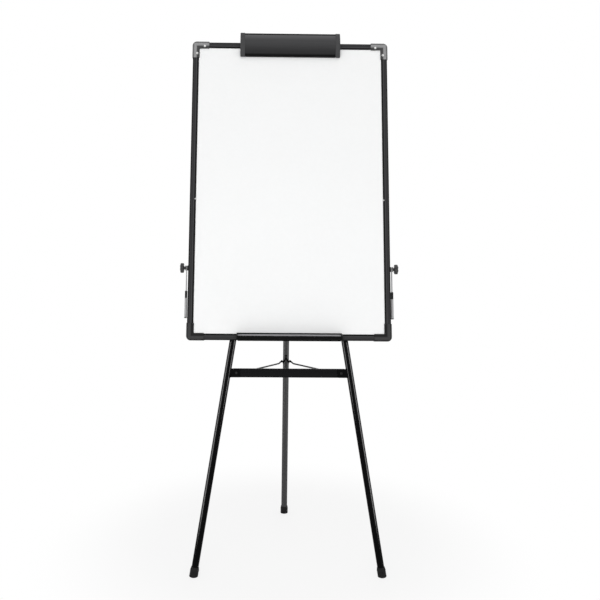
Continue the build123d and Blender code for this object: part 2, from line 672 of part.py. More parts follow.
def crossbar_screws():
    """Screws with nuts that join the brackets and the crossbar."""
    u = crossbar_screw_u()
    face = CROSSBAR_DEPTH / 2 + SEAT + BRACKET_WALL
    inside = CROSSBAR_DEPTH / 2 - CROSSBAR_WALL
    shank = rod_w(u, CROSSBAR_HEIGHT_UP, inside - CROSSBAR_NUT - PAST, face, CROSSBAR_SCREW_RADIUS)
    cap = dome_w(u, CROSSBAR_HEIGHT_UP, face, CROSSBAR_SCREW_CAP_RADIUS, CROSSBAR_SCREW_CAP)
    flats = RegularPolygon(CROSSBAR_SCREW_CAP_RADIUS, 6)
    nut = extrude_w(Pos(u, CROSSBAR_HEIGHT_UP) * flats, inside - CROSSBAR_NUT, inside)
    return both_sides(shank + cap + nut)


def spreader_rod(side):
    """Bent rod: pivot end in the crossbar tab, hooked end over the pin of the rear leg."""
    hold = SPREADER_PIN_RADIUS + SPREADER_ROD_RADIUS + FREE
    over = PIN_V + hold
    behind = PIN_W - hold
    path = FilletPolyline(
        (side * (U_SPREADER + SPREADER_TAB / 2 + SPREADER_END), CROSSBAR_HEIGHT_UP, W_SPREADER),
        (side * (U_SPREADER - SPREADER_BEND_IN), CROSSBAR_HEIGHT_UP, W_SPREADER),
        (side * SPREADER_STRADDLE, over, PIN_W + SPREADER_HOOK_LEAD),
        (side * SPREADER_STRADDLE, over, behind),
        (side * SPREADER_STRADDLE, over - SPREADER_HOOK, behind),
        radius=list(SPREADER_BENDS))
    start = Plane(origin=path @ 0, z_dir=path % 0)
    return sweep(start * Circle(SPREADER_ROD_RADIUS), path=path)


def saddle_screw_heights():
    """Heights up the rear leg of the two saddle screws."""
    middle = REAR_PIN_UP + SADDLE_ARM
    return [middle - SADDLE_SCREW_SPACING / 2, middle + SADDLE_SCREW_SPACING / 2]


def spreader_saddle():
    """Chevron plate that hugs the front of the rear leg, upright."""
    inner = LEG_RADIUS + SEAT
    ring = Cylinder(inner + SADDLE_WALL, SADDLE_HEIGHT + 2 * SADDLE_ARM)
    ring = ring - Cylinder(inner, 4 * SADDLE_HEIGHT)
    ring = ring & Pos(0, -inner, 0) * Box(4 * inner, 2 * inner, 4 * SADDLE_HEIGHT)
    half = SADDLE_STRAP / 2
    wide = LEG_RADIUS - SADDLE_WALL / 3
    strap = RectangleRounded(SADDLE_STRAP, SADDLE_HEIGHT, half - SEAT)
    chevron = polygon((0, SADDLE_APEX), (wide, 0), (wide, -SADDLE_ARM), (0, SADDLE_ARM / 2),
                      (-wide, -SADDLE_ARM), (-wide, 0))
    cutter = Plane(origin=(0, 0, 0), x_dir=(1, 0, 0), z_dir=(0, -1, 0)) * (strap + chevron)
    plate = ring & extrude(cutter, 2 * inner, dir=(0, -1, 0))
    for height in saddle_screw_heights():
        hole = Pos(0, -inner, height - REAR_PIN_UP - SADDLE_ARM) * Rot(90, 0, 0)
        plate -= hole * Cylinder(SADDLE_SCREW_RADIUS + SEAT, inner)
    return rear_plane() * Pos(0, 0, REAR_PIN_UP + SADDLE_ARM) * plate


def rear_leg_rivets():
    """Pin across the rear leg for the rod hooks and two rivets of the saddle, upright."""
    rivets = []
    for height in saddle_screw_heights():
        rivet = rod_w(0, 0, -LEG_WALL - PAST, SADDLE_WALL + SEAT, SADDLE_SCREW_RADIUS)
        rivet += dome_w(0, 0, SADDLE_WALL + SEAT, SADDLE_SCREW_CAP_RADIUS, SADDLE_SCREW_CAP)
        front = Plane(origin=(0, -LEG_RADIUS, height), x_dir=(1, 0, 0), z_dir=(0, -1, 0)).location
        rivets.append(rear_plane() * front * rivet)
    end = SPREADER_STRADDLE + SPREADER_ROD_RADIUS + FREE + SPREADER_PIN_HEAD
    pin = Rot(0, 90, 0) * Cylinder(SPREADER_PIN_RADIUS, 2 * end)
    head = Pos(end - SPREADER_PIN_HEAD / 2, 0, 0) * Rot(0, 90, 0) * Cylinder(SPREADER_PIN_HEAD_RADIUS,
                                                                             SPREADER_PIN_HEAD)
    pin = pin + head + mirror(head, about=Plane.YZ)
    return Compound(children=rivets + [rear_plane() * Pos(0, 0, REAR_PIN_UP) * pin])


# Clips under the board

def clip_v():
    """Height of the clip screws: the middle of the bottom rail's chamber."""
    return V_BOTTOM + (PANEL_INSET - SEAT) / 2


def clip_centre():
    """Height of the middle of a clip."""
    return V_BOTTOM + CLIP_HEIGHT / 2


def clip_screw_places(side):
    """Places of the two screws of one clip."""
    centre = leg_u(clip_centre())
    reach = LEG_RADIUS + CLIP_WALL + CLIP_EAR / 2
    return [(side * centre - reach, clip_v()), (side * centre + reach, clip_v())]


def board_clip(side):
    """Moulded clip that snaps on a front leg and is screwed to the back of the bottom rail."""
    centre = side * leg_u(clip_centre())
    half = CLIP_HEIGHT / 2
    wide = LEG_RADIUS + CLIP_WALL
    body = block(centre - wide, centre + wide, clip_centre() - half, clip_centre() + half,
                 -CLIP_WRAP, W_BACK)
    body = chamfer(body.faces().sort_by(Axis.Z)[0].edges().filter_by(Axis.Y), CLIP_BEVEL)
    ear = block(centre - wide - CLIP_EAR, centre + wide + CLIP_EAR, V_BOTTOM, V_BOTTOM + PANEL_INSET,
                W_BACK - CLIP_EAR_THICKNESS, W_BACK)
    ear = chamfer(ear.edges().filter_by(Axis.Z), CLIP_BEVEL)
    clip = body + ear
    clip -= leg_plane(side) * Pos(0, 0, V_BOTTOM) * Cylinder(LEG_RADIUS + SEAT, V_BOTTOM)
    for u, v in clip_screw_places(side):
        clip -= rod_w(u, v, 0, W_FRONT, CLIP_SCREW_RADIUS + SEAT)
    return clip


def board_screws():
    """Screws from behind that hold the board on the head plate and the two clips."""
    level = W_BACK - HEAD_PLATE - SEAT
    screws = [rod_w(u, v, level, level + PLATE_SCREW_BITE, PLATE_SCREW_RADIUS)
              + rod_w(u, v, level - PLATE_SCREW_CAP, level, PLATE_SCREW_CAP_RADIUS)
              for u, v in plate_screw_places()]
    level = W_BACK - CLIP_EAR_THICKNESS - SEAT
    screws += [rod_w(u, v, level, level + CLIP_SCREW_BITE, CLIP_SCREW_RADIUS)
               + rod_w(u, v, level - CLIP_SCREW_CAP, level, CLIP_SCREW_CAP_RADIUS)
               for side in SIDES.values() for u, v in clip_screw_places(side)]
    return Compound(children=screws)


# Pad clamp

def clamp_cover_half():
    """Half length of the cover between its caps."""
    return CLAMP_LENGTH / 2 - CLAMP_CAP_LENGTH


def clamp_curve(outward):
    """Front curve of the clamp, moved outward, from its bottom to its top."""
    low = (W_FRONT + CLAMP_LIP_FRONT + outward, V_TOP - CLAMP_BELOW - outward)
    high = (W_FRONT + CLAMP_TOP_FRONT + outward, V_TOP + CLAMP_ABOVE + outward)
    crown = (W_FRONT + CLAMP_BULGE + outward, V_TOP + (CLAMP_ABOVE - CLAMP_BELOW) / 2)
    return low, crown, high


def clamp_pad_back():
    """Level of the rubber's face: just off the writing surface."""
    return W_SURFACE + FREE


def clamp_cover():
    """Curved pressing with beaded edges, a lip for the rubber and hinge barrels along its inside."""
    low, crown, high = clamp_curve(0)
    low_in = (low[0] - CLAMP_SKIN, low[1] + SEAT)
    crown_in = (crown[0] - CLAMP_SKIN, crown[1])
    high_in = (high[0] - CLAMP_SKIN, high[1] - SEAT)
    front = ThreePointArc(low, crown, high)
    inside = ThreePointArc(high_in, crown_in, low_in)
    skin = make_face(front + Line(high, high_in) + inside + Line(low_in, low))
    bead = Circle(CLAMP_BEAD_RADIUS)
    skin = skin + Pos(high[0] - CLAMP_BEAD_RADIUS / 2, high[1] - CLAMP_BEAD_RADIUS) * bead
    skin = skin + Pos(low[0] - CLAMP_BEAD_RADIUS / 2, low[1] + CLAMP_BEAD_RADIUS) * bead
    lip_back = clamp_pad_back() + CLAMP_LIP_RETURN
    lip = polygon((lip_back, low[1]), (low[0], low[1]), (low[0], low[1] + CLAMP_SKIN),
                  (lip_back + CLAMP_SKIN, low[1] + CLAMP_SKIN),
                  (lip_back + CLAMP_SKIN, low[1] + CLAMP_PAD_HEIGHT),
                  (lip_back, low[1] + CLAMP_PAD_HEIGHT))
    barrel = Pos(W_AXLE, V_AXLE) * Circle(CLAMP_AXLE_RADIUS + RUN + CLAMP_BARREL_WALL)
    web = polygon((W_AXLE, V_AXLE - CLAMP_WEB / 2), (crown[0] - CLAMP_SKIN, V_AXLE - CLAMP_WEB / 2),
                  (crown[0] - CLAMP_SKIN, V_AXLE + CLAMP_WEB / 2), (W_AXLE, V_AXLE + CLAMP_WEB / 2))
    envelope = make_face(front + Line(high, low))
    hinge_face = barrel + (web & envelope)
    half = clamp_cover_half()
    cover = extrude_u(skin + lip, -half, half)
    hinge = extrude_u(hinge_face, -half, half)
    reach = CLAMP_AXLE_RADIUS + RUN + CLAMP_BARREL_WALL + CLAMP_SPRING_CLEAR
    gap_front = W_AXLE + reach
    for place in CLAMP_EAR_SPACING:
        width = CLAMP_EAR / 2 + CLAMP_EAR_GAP
        hinge -= block(place - width, place + width, V_AXLE - reach, V_AXLE + reach,
                       W_AXLE - reach, gap_front)
    for place in CLAMP_SPRING_PLACES:
        width = CLAMP_SPRING_TURNS * CLAMP_SPRING_PITCH / 2 + CLAMP_SPRING_WIRE + CLAMP_SPRING_CLEAR
        reach = CLAMP_AXLE_UP - CLAMP_FLANGE + CLAMP_SPRING_CLEAR
        hinge -= block(place - width, place + width, V_AXLE - reach, V_AXLE + reach,
                       W_AXLE - reach, W_AXLE + reach)
    cover = cover + hinge
    return cover - rod_u(-half, half, V_AXLE, W_AXLE, CLAMP_AXLE_RADIUS + RUN)


def clamp_cap():
    """Right end cap: a moulded block that follows the cover a little proud of it."""
    low, crown, high = clamp_curve(CLAMP_CAP_PROUD)
    back = W_FRONT + CLAMP_CAP_BACK
    front = ThreePointArc(low, crown, high)
    rest = Polyline(high, (W_AXLE - CLAMP_BARREL_WALL, high[1]), (back, V_AXLE), (back, low[1]), low)
    face = make_face(front + rest)
    half = clamp_cover_half()
    cap = extrude_u(face, half, half + CLAMP_CAP_LENGTH)
    outer = cap.faces().sort_by(Axis.X)[-1].edges()
    cap = chamfer(outer, CLAMP_CAP_PROUD)
    bore_end = half + CLAMP_CAP_LENGTH / 2
    return cap - rod_u(half - PAST, bore_end, V_AXLE, W_AXLE, CLAMP_AXLE_RADIUS + RUN)


def clamp_base():
    """Angle on the top rail with ears that carry the axle."""
    half = CLAMP_EAR_SPACING[-1] + CLAMP_EAR / 2
    top = V_TOP + SEAT
    front = W_FRONT + SEAT
    low = V_TOP - RAIL_FACE
    angle = polygon((W_BACK, top), (front, top), (front, low), (front + CLAMP_FLANGE, low),
                    (front + CLAMP_FLANGE, top + CLAMP_FLANGE), (W_BACK, top + CLAMP_FLANGE))
    base = extrude_u(angle, -half, half)
    eye = CLAMP_AXLE_RADIUS + CLAMP_BARREL_WALL
    ear = polygon((front, top + CLAMP_FLANGE / 2), (front + CLAMP_FLANGE, V_TOP - RAIL_FACE / 2),
                  (W_AXLE + eye, V_AXLE), (W_AXLE, V_AXLE + eye), (W_AXLE - eye, V_AXLE))
    ear = ear + Pos(W_AXLE, V_AXLE) * Circle(eye)
    for place in CLAMP_EAR_SPACING:
        base += extrude_u(ear, place - CLAMP_EAR / 2, place + CLAMP_EAR / 2)
    base -= rod_u(-2 * half, 2 * half, V_AXLE, W_AXLE, CLAMP_AXLE_RADIUS + SEAT)
    for place in CLAMP_SCREW_PLACES:
        base -= rod_v(place, V_TOP - PAST, V_TOP + 2 * CLAMP_FLANGE, W_MID_RAIL,
                      CLAMP_SCREW_RADIUS + SEAT)
    return base


def clamp_axle():
    """Axle of the clamp, its ends in the caps."""
    half = clamp_cover_half() + CLAMP_CAP_LENGTH / 2 - PAST
    return rod_u(-half, half, V_AXLE, W_AXLE, CLAMP_AXLE_RADIUS)


def clamp_spring(place):
    """Torsion spring round the axle, wound from the front to the bottom, its tail along the base."""
    radius = CLAMP_AXLE_UP - SEAT - CLAMP_FLANGE - CLAMP_SPRING_WIRE
    length = CLAMP_SPRING_TURNS * CLAMP_SPRING_PITCH
    coil = Helix(CLAMP_SPRING_PITCH, length, radius)
    tail = Line(coil @ 1, (coil @ 1) + (coil % 1) * (W_AXLE - W_MID_RAIL))
    path = Wire([coil.edge(), tail.edge()])
    start = Plane(origin=path @ 0, z_dir=path % 0)
    spring = sweep(start * RegularPolygon(CLAMP_SPRING_WIRE, 6), path=path)
    axle = Plane(origin=(place - length / 2, V_AXLE, W_AXLE), x_dir=(0, 0, 1), z_dir=(1, 0, 0)).location
    return axle * spring


def clamp_pad():
    """Rubber strip that presses on the paper."""
    low = clamp_curve(0)[0]
    half = clamp_cover_half() - PAST
    back = clamp_pad_back()
    return block(-half, half, low[1], low[1] + CLAMP_PAD_HEIGHT, back, back + CLAMP_LIP_RETURN)


def clamp_screws():
    """Screws from the clamp base into the top rail."""
    level = V_TOP + CLAMP_FLANGE + 2 * SEAT
    screws = []
    for place in CLAMP_SCREW_PLACES:
        shank = rod_v(place, level - CLAMP_SCREW_BITE, level, W_MID_RAIL, CLAMP_SCREW_RADIUS)
        head = rod_v(place, level, level + CLAMP_SCREW_CAP, W_MID_RAIL, CLAMP_SCREW_CAP_RADIUS)
        screws.append(shank + head)
    return Compound(children=screws)


# Pen tray

def tray_levels():
    """Heights and depths that the tray and its caps share."""
    back = W_FRONT + FREE
    floor = V_BOTTOM + TRAY_RAISE
    return back, back + TRAY_DEPTH, floor, floor + TRAY_LIP, V_BOTTOM + RAIL_FACE + TRAY_BACK_RISE


def pen_tray():
    """Trough whose back wall hooks over the inner lip and under the edge of the bottom rail."""
    back, front, floor, lip, high = tray_levels()
    trough = polygon((back, floor), (front, floor), (front, lip), (front - TRAY_WALL, lip),
                     (front - TRAY_WALL, floor + TRAY_WALL), (back + TRAY_WALL, floor + TRAY_WALL),
                     (back + TRAY_WALL, high), (back, high))
    bends = [corner for corner in trough.vertices() if corner.Y < floor + 2 * TRAY_WALL
             and abs(corner.X - back) > TRAY_WALL / 2]
    trough = fillet(bends, TRAY_WALL)
    hook_low = V_BOTTOM + RAIL_FACE + FREE
    hook = polygon((W_SURFACE + FREE, hook_low), (back + SEAT, hook_low), (back + SEAT, high),
                   (W_SURFACE + FREE, high))
    under = V_BOTTOM - FREE
    foot_face = polygon((back, floor + TRAY_WALL), (back, under), (W_MID_RAIL, under),
                        (W_MID_RAIL, under - TRAY_HOOK), (back + TRAY_WALL, under - TRAY_HOOK),
                        (back + TRAY_WALL, floor + TRAY_WALL))
    half = TRAY_LENGTH / 2
    return extrude_u(trough + hook + foot_face, -half, half)


def tray_cap():
    """Right end cap of the tray: a plate whose top slopes down to the front lip."""
    back, front, floor, lip, high = tray_levels()
    face = polygon((back, floor), (front, floor), (front, lip),
                   (front - TRAY_CORNER, lip + TRAY_CORNER / 2),
                   (back + 2 * TRAY_CORNER, high), (back, high))
    half = TRAY_LENGTH / 2
    cap = extrude_u(face, half, half + TRAY_CAP)
    return chamfer(cap.faces().sort_by(Axis.X)[-1].edges(), TRAY_CAP_BEVEL)


# Side arms, drawn on the right

def arm_levels():
    """Distances from the middle of the faces along the knob's axis."""
    bush_end = HALF_WIDTH + ARM_BUSH
    strap = (bush_end + SEAT, bush_end + SEAT + ARM_STRAP)
    washer = (strap[1] + SEAT, strap[1] + SEAT + ARM_WASHER)
    return bush_end, strap, washer


def arm_stud():
    """Stud from inside the rail through bush and washer into the knob."""
    washer = arm_levels()[2]
    head_face = HALF_WIDTH - RAIL_WALL
    head_start = head_face - ARM_STUD_HEAD
    stud = rod_u(head_start, washer[1] + FREE + STUD_BITE, V_KNOB, W_MID_RAIL, ARM_STUD_RADIUS)
    return stud + rod_u(head_start, head_face - SEAT, V_KNOB, W_MID_RAIL, ARM_STUD_HEAD_RADIUS)


def arm_spacers():
    """Bush against the rail and washer under the knob, one on each side of the strap."""
    end, strap, washer = arm_levels()
    hub = rod_u(HALF_WIDTH + SEAT, end, V_KNOB, W_MID_RAIL, ARM_HUB_RADIUS)
    disc = rod_u(washer[0], washer[1], V_KNOB, W_MID_RAIL, ARM_HUB_RADIUS)
    bore = rod_u(HALF_WIDTH, washer[1] + PAST, V_KNOB, W_MID_RAIL, ARM_STUD_RADIUS + SEAT)
    return [hub - bore, disc - bore]


def strap_end_v():
    """Height of the strap's lower end, inside the channel."""
    return V_KNOB - ARM_GUIDE_DROP - ARM_GUIDE_LENGTH - ARM_CHANNEL_LENGTH + ARM_TIP + ARM_STRAP_SPARE


def arm_strap():
    """Flat strap with a round eye on the stud."""
    strap = arm_levels()[1]
    half = ARM_STRAP_WIDTH / 2
    face = Pos(W_MID_RAIL, V_KNOB) * Circle(half)
    bar = polygon((W_MID_RAIL - half, V_KNOB), (W_MID_RAIL - half, strap_end_v()),
                  (W_MID_RAIL + half, strap_end_v()), (W_MID_RAIL + half, V_KNOB))
    face = face + bar - Pos(W_MID_RAIL, V_KNOB) * Circle(ARM_STUD_RADIUS + RUN)
    return extrude_u(face, strap[0], strap[1])


def arm_middle_u():
    """Middle of the strap's thickness."""
    strap = arm_levels()[1]
    return (strap[0] + strap[1]) / 2


def arm_guide():
    """Nylon guide at the mouth of the channel, slotted for the strap."""
    middle = arm_middle_u()
    top = V_KNOB - ARM_GUIDE_DROP
    half_w = ARM_GUIDE_WIDTH / 2
    half_u = ARM_GUIDE_THICKNESS / 2
    guide = block(middle - half_u, middle + half_u, top - ARM_GUIDE_LENGTH, top, W_MID_RAIL - half_w,
                  W_MID_RAIL + half_w)
    guide = chamfer(guide.edges().filter_by(Axis.X), ARM_GUIDE_THICKNESS / 4)
    slot_w = ARM_STRAP_WIDTH / 2 + RUN
    slot_u = ARM_STRAP / 2 + RUN
    return guide - block(middle - slot_u, middle + slot_u, top - 2 * ARM_GUIDE_LENGTH, top + PAST,
                         W_MID_RAIL - slot_w, W_MID_RAIL + slot_w)


def channel_span():
    """Heights of the channel's lower and upper end."""
    top = V_KNOB - ARM_GUIDE_DROP - ARM_GUIDE_LENGTH
    return top - ARM_CHANNEL_LENGTH, top


def arm_channel():
    """Lower channel: a thin closed section that runs along the strap."""
    middle = arm_middle_u()
    low, high = channel_span()
    half_w = ARM_CHANNEL_WIDTH / 2
    half_u = ARM_CHANNEL_THICKNESS / 2
    wall = ARM_CHANNEL_WALL
    channel = block(middle - half_u, middle + half_u, low, high, W_MID_RAIL - half_w, W_MID_RAIL + half_w)
    channel = chamfer(channel.edges().filter_by(Axis.Y), ARM_CHANNEL_WALL)
    return channel - block(middle - half_u + wall, middle + half_u - wall, low - PAST, high + PAST,
                           W_MID_RAIL - half_w + wall, W_MID_RAIL + half_w - wall)


def arm_tip():
    """Plug that closes the channel's lower end."""
    middle = arm_middle_u()
    low = channel_span()[0]
    half_w = ARM_CHANNEL_WIDTH / 2
    half_u = ARM_CHANNEL_THICKNESS / 2
    inset = ARM_CHANNEL_WALL + SEAT
    stem = block(middle - half_u + inset, middle + half_u - inset, low, low + ARM_TIP,
                 W_MID_RAIL - half_w + inset, W_MID_RAIL + half_w - inset)
    head_u = half_u + ARM_TIP_FLARE
    head_w = half_w + ARM_TIP_FLARE
    head = block(middle - head_u, middle + head_u, low - ARM_TIP_HEAD, low, W_MID_RAIL - head_w,
                 W_MID_RAIL + head_w)
    head = chamfer(head.faces().sort_by(Axis.Y)[0].edges(), ARM_TIP_BEVEL)
    return stem + head


def arm_knob():
    """Lobed hand knob with a neck."""
    start = arm_levels()[2][1] + FREE
    face = start + KNOB_NECK
    reach = KNOB_RADIUS - KNOB_LOBE_RADIUS
    lobes = Circle(reach)
    for index in range(KNOB_LOBES):
        lobes += Rot(0, 0, 360 / KNOB_LOBES * index) * Pos(reach, 0) * Circle(KNOB_LOBE_RADIUS)
    outside = KNOB_RADIUS - KNOB_LOBE_RADIUS / 2
    dips = [corner for corner in lobes.vertices() if Vector(corner).length < outside]
    lobes = fillet(dips, KNOB_DIP_RADIUS)
    head = extrude_u(Pos(W_MID_RAIL, V_KNOB) * lobes, face, face + KNOB_THICKNESS)
    head = chamfer(head.faces().sort_by(Axis.X)[-1].edges(), KNOB_EDGE_BEVEL)
    knob = head + rod_u(start, face + PAST, V_KNOB, W_MID_RAIL, KNOB_NECK_RADIUS)
    bore_end = start + STUD_BITE + FREE
    return knob - rod_u(start - PAST, bore_end, V_KNOB, W_MID_RAIL, ARM_STUD_RADIUS + RUN)


# Assembly

def cut_rails(rails):
    """Holes in the rails for the cover bushes, screws and studs."""
    bush = hang_hole_cutter(HANG_HOLE_RADIUS + HANG_HOLE_WALL + SEAT)
    for name in ("top_rail", "left_rail", "right_rail"):
        rails[name] -= bush
    for side, name in ((-1, "left_rail"), (1, "right_rail")):
        rails[name] -= rod_u(side * (HALF_WIDTH - 2 * RAIL_WALL), side * (HALF_WIDTH + PAST),
                             V_KNOB, W_MID_RAIL, ARM_STUD_RADIUS + SEAT)
    for place in CLAMP_SCREW_PLACES:
        rails["top_rail"] -= rod_v(place, V_TOP - CLAMP_SCREW_BITE, V_TOP + PAST, W_MID_RAIL,
                                   CLAMP_SCREW_RADIUS + SEAT)
    for u, v in plate_screw_places():
        rails["top_rail"] -= rod_w(u, v, 0, W_BACK + 2 * RAIL_WALL, PLATE_SCREW_RADIUS + SEAT)
    for side in SIDES.values():
        for u, v in clip_screw_places(side):
            rails["bottom_rail"] -= rod_w(u, v, 0, W_BACK + 2 * RAIL_WALL, CLIP_SCREW_RADIUS + SEAT)
    return rails


def leaning_parts():
    """Everything that is drawn in the leaning plane, by name."""
    bottom = lying_rail()
    left = standing_rail()
    middle = Plane(origin=(0, (V_BOTTOM + V_TOP) / 2, 0), z_dir=(0, 1, 0))
    rails = {"bottom_rail": bottom, "top_rail": mirror(bottom, about=middle), "left_rail": left,
             "right_rail": mirror(left, about=Plane.YZ)}
    parts = cut_rails(rails)
    parts["writing_surface"] = panel_layer(W_SURFACE - SURFACE_THICKNESS, W_SURFACE)
    parts["board_core"] = panel_layer(W_PANEL_BACK + BACK_THICKNESS, W_SURFACE - SURFACE_THICKNESS)
    parts["back_sheet"] = panel_layer(W_PANEL_BACK, W_PANEL_BACK + BACK_THICKNESS)
    parts["rail_screws"] = rail_screws()
    for name, top in (("top", True), ("bottom", False)):
        cover = corner_cover(top)
        parts["corner_" + name + "_left"] = cover
        parts["corner_" + name + "_right"] = mirror(cover, about=Plane.YZ)
    for name, side in SIDES.items():
        parts["front_leg_" + name] = front_leg(side)
        parts["crossbar_bracket_" + name] = crossbar_bracket(side)
        parts["board_clip_" + name] = board_clip(side)
        parts["spreader_rod_" + name] = spreader_rod(side)
    parts["head_front_plate"] = head_front_plate()
    parts["head_clevis"] = head_clevis()
    parts["head_bolts"] = both_sides(head_bolt())
    parts["board_screws"] = board_screws()
    parts["rear_hinge_pin"] = hinge_pin()
    parts["crossbar"] = crossbar()
    parts["crossbar_screws"] = crossbar_screws()
    parts["clamp_cover"] = clamp_cover()
    parts["clamp_cap_right"] = clamp_cap()
    parts["clamp_cap_left"] = mirror(parts["clamp_cap_right"], about=Plane.YZ)
    parts["clamp_base"] = clamp_base()
    parts["clamp_axle"] = clamp_axle()
    parts["clamp_springs"] = Compound(children=[clamp_spring(place) for place in CLAMP_SPRING_PLACES])
    parts["clamp_pad"] = clamp_pad()
    parts["clamp_screws"] = clamp_screws()
    parts["pen_tray"] = pen_tray()
    parts["tray_cap_right"] = tray_cap()
    parts["tray_cap_left"] = mirror(parts["tray_cap_right"], about=Plane.YZ)
    parts["arm_studs"] = both_sides(arm_stud())
    spacers = arm_spacers()
    parts["arm_spacers"] = Compound(children=spacers + [mirror(ring, about=Plane.YZ) for ring in spacers])
    arm = {"arm_strap": arm_strap(), "arm_guide": arm_guide(), "arm_channel": arm_channel(),
           "arm_tip": arm_tip(), "arm_knob": arm_knob()}
    for name, shape in arm.items():
        parts[name + "_right"] = shape
        parts[name + "_left"] = mirror(shape, about=Plane.YZ)
    return parts


def upright_parts():
    """Everything in upright coordinates, from the middle of the front feet."""
    parts = {name: leaning() * shape for name, shape in leaning_parts().items()}
    parts["front_leg_ends"] = front_leg_ends()
    parts["rear_leg"] = rear_leg()
    parts["rear_leg_ends"] = rear_leg_ends()
    parts["spreader_saddle"] = spreader_saddle()
    parts["rear_leg_rivets"] = rear_leg_rivets()
    return parts


def origin_shift(parts):
    """Move that puts the origin under the middle of the whole easel."""
    boxes = [shape.bounding_box() for shape in parts.values()]
    front = min(box.min.Y for box in boxes)
    rear = max(box.max.Y for box in boxes)
    return -(front + rear) / 2


easel = upright_parts()
ORIGIN_SHIFT = origin_shift(easel)
os.makedirs("parts", exist_ok=True)
for node, shape in easel.items():
    export_step(Pos(0, ORIGIN_SHIFT, 0) * shape, "parts/" + node + ".step")
print("nodes", len(easel), "origin shift", round(ORIGIN_SHIFT, 3), "fold angle", round(FOLD_ANGLE, 3))
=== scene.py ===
import json
from math import asin, atan2, cos, pi, radians, sin, sqrt, tan

import bmesh
import bpy
from bpy.props import FloatProperty, FloatVectorProperty, IntProperty, PointerProperty
from mathutils import Matrix, Vector


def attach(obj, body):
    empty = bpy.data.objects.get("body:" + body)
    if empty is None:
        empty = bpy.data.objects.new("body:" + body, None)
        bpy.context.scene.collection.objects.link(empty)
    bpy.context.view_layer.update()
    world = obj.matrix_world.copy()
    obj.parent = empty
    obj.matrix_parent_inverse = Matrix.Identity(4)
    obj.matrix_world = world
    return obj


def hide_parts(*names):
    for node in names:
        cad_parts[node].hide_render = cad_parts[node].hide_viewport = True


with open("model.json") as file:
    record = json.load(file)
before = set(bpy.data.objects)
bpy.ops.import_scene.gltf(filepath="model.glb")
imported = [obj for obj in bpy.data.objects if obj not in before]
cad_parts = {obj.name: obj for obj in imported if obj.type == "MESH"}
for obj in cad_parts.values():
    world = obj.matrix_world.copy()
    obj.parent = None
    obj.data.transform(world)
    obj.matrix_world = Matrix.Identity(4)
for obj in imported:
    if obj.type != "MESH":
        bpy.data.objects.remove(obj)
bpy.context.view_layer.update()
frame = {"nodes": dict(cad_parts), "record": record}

bl_info = {
    "name": "Whiteboard Easel",
    "version": (1, 0, 0),
    "blender": (4, 5, 0),
    "location": "3D View > Sidebar > Easel",
    "description": "Builds the dressed pieces of a whiteboard easel on its packed frame",
    "category": "Object",
}

MM = 1000

# Sizes of the easel in millimetres, the same as in the part's source. The board's own directions are
# u to the right, v up the board and w out of its front
LEAN = radians(8.7)
SPLAY = radians(8.78)
FOOT_SPREAD = 536.5
REAR_REACH = 454.0
ORIGIN_SHIFT = -227.031
BOARD_LIFT = 664.0
BOARD_HEIGHT = 913.0
HALF_WIDTH = 300.0
W_BACK = 13.0
W_FRONT = 31.15
W_SURFACE = 28.95
W_MID_RAIL = 20.875
V_TOP = BOARD_LIFT + BOARD_HEIGHT
V_HEAD = V_TOP - 36.0
W_HINGE = -26.0
LEG_RADIUS = 10.0
CROSSBAR_V = 569.0
W_SPREADER = -12.0
SPREADER_DROP = 987.5
V_AXLE = V_TOP + 8.0
W_AXLE = W_FRONT + 6.5
V_KNOB = BOARD_LIFT + 212.0
KNOB_START = 309.0
HOLE_ALONG = 36.5
HOLE_IN = 13.2
SIDES = {"left": -1, "right": 1}

# How a node's mesh is cleaned before its edges are rounded
MERGE_WITHIN = 0.000004
FLAT_WITHIN = radians(0.8)
ROUND_FROM = radians(38)


# Places

def axes(x, y, z):
    """Turn to three new axes."""
    return Matrix((x, y, z)).transposed().to_4x4()


def to_frame():
    """Turns millimetres from the middle of the front feet into metres of the frame."""
    return Matrix.Translation((0, ORIGIN_SHIFT / MM, 0)) @ Matrix.Scale(1 / MM, 4)


def leaning_matrix():
    """Turns board coordinates (u, v, w) in millimetres into metres of the frame."""
    return to_frame() @ axes((1, 0, 0), (0, sin(LEAN), cos(LEAN)), (0, -cos(LEAN), sin(LEAN)))


BOARD = leaning_matrix()


def front_leg_matrix(side):
    """Frame of a front leg in metres: z up the tube, x out of the front."""
    turn = axes((0, 0, 1), (cos(SPLAY), side * sin(SPLAY), 0), (-side * sin(SPLAY), cos(SPLAY), 0))
    return BOARD @ Matrix.Translation((side * FOOT_SPREAD / 2, 0, 0)) @ turn


def hinge_point():
    """Axis of the rear leg's hinge in upright millimetres from the front feet."""
    return Vector((0, V_HEAD * sin(LEAN) - W_HINGE * cos(LEAN), V_HEAD * cos(LEAN) + W_HINGE * sin(LEAN)))


def rear_leg_length():
    """Distance from the rear foot to the hinge."""
    return (hinge_point() - Vector((0, REAR_REACH, 0))).length


def rear_leg_matrix():
    """Frame of the rear leg in metres: z up the tube, x to the right."""
    foot, right = Vector((0, REAR_REACH, 0)), Vector((1, 0, 0))
    up = (hinge_point() - foot).normalized()
    return to_frame() @ Matrix.Translation(foot) @ axes(right, up.cross(right), up)


def leg_u(v):
    """Distance of a front leg from the middle at a height up the board plane."""
    return FOOT_SPREAD / 2 - v * tan(SPLAY)


# Shapes

def add_rings(bm, rings, closed=False, caps=True):
    """Skins a row of rings of points; closed joins the last ring to the first."""
    loops = [[bm.verts.new(point) for point in ring] for ring in rings]
    pairs = list(zip(loops, loops[1:]))
    if closed:
        pairs.append((loops[-1], loops[0]))
    for low, high in pairs:
        count = len(low)
        for index in range(count):
            after = (index + 1) % count
            bm.faces.new((low[index], low[after], high[after], high[index]))
    if caps and not closed:
        bm.faces.new(list(reversed(loops[0])))
        bm.faces.new(loops[-1])


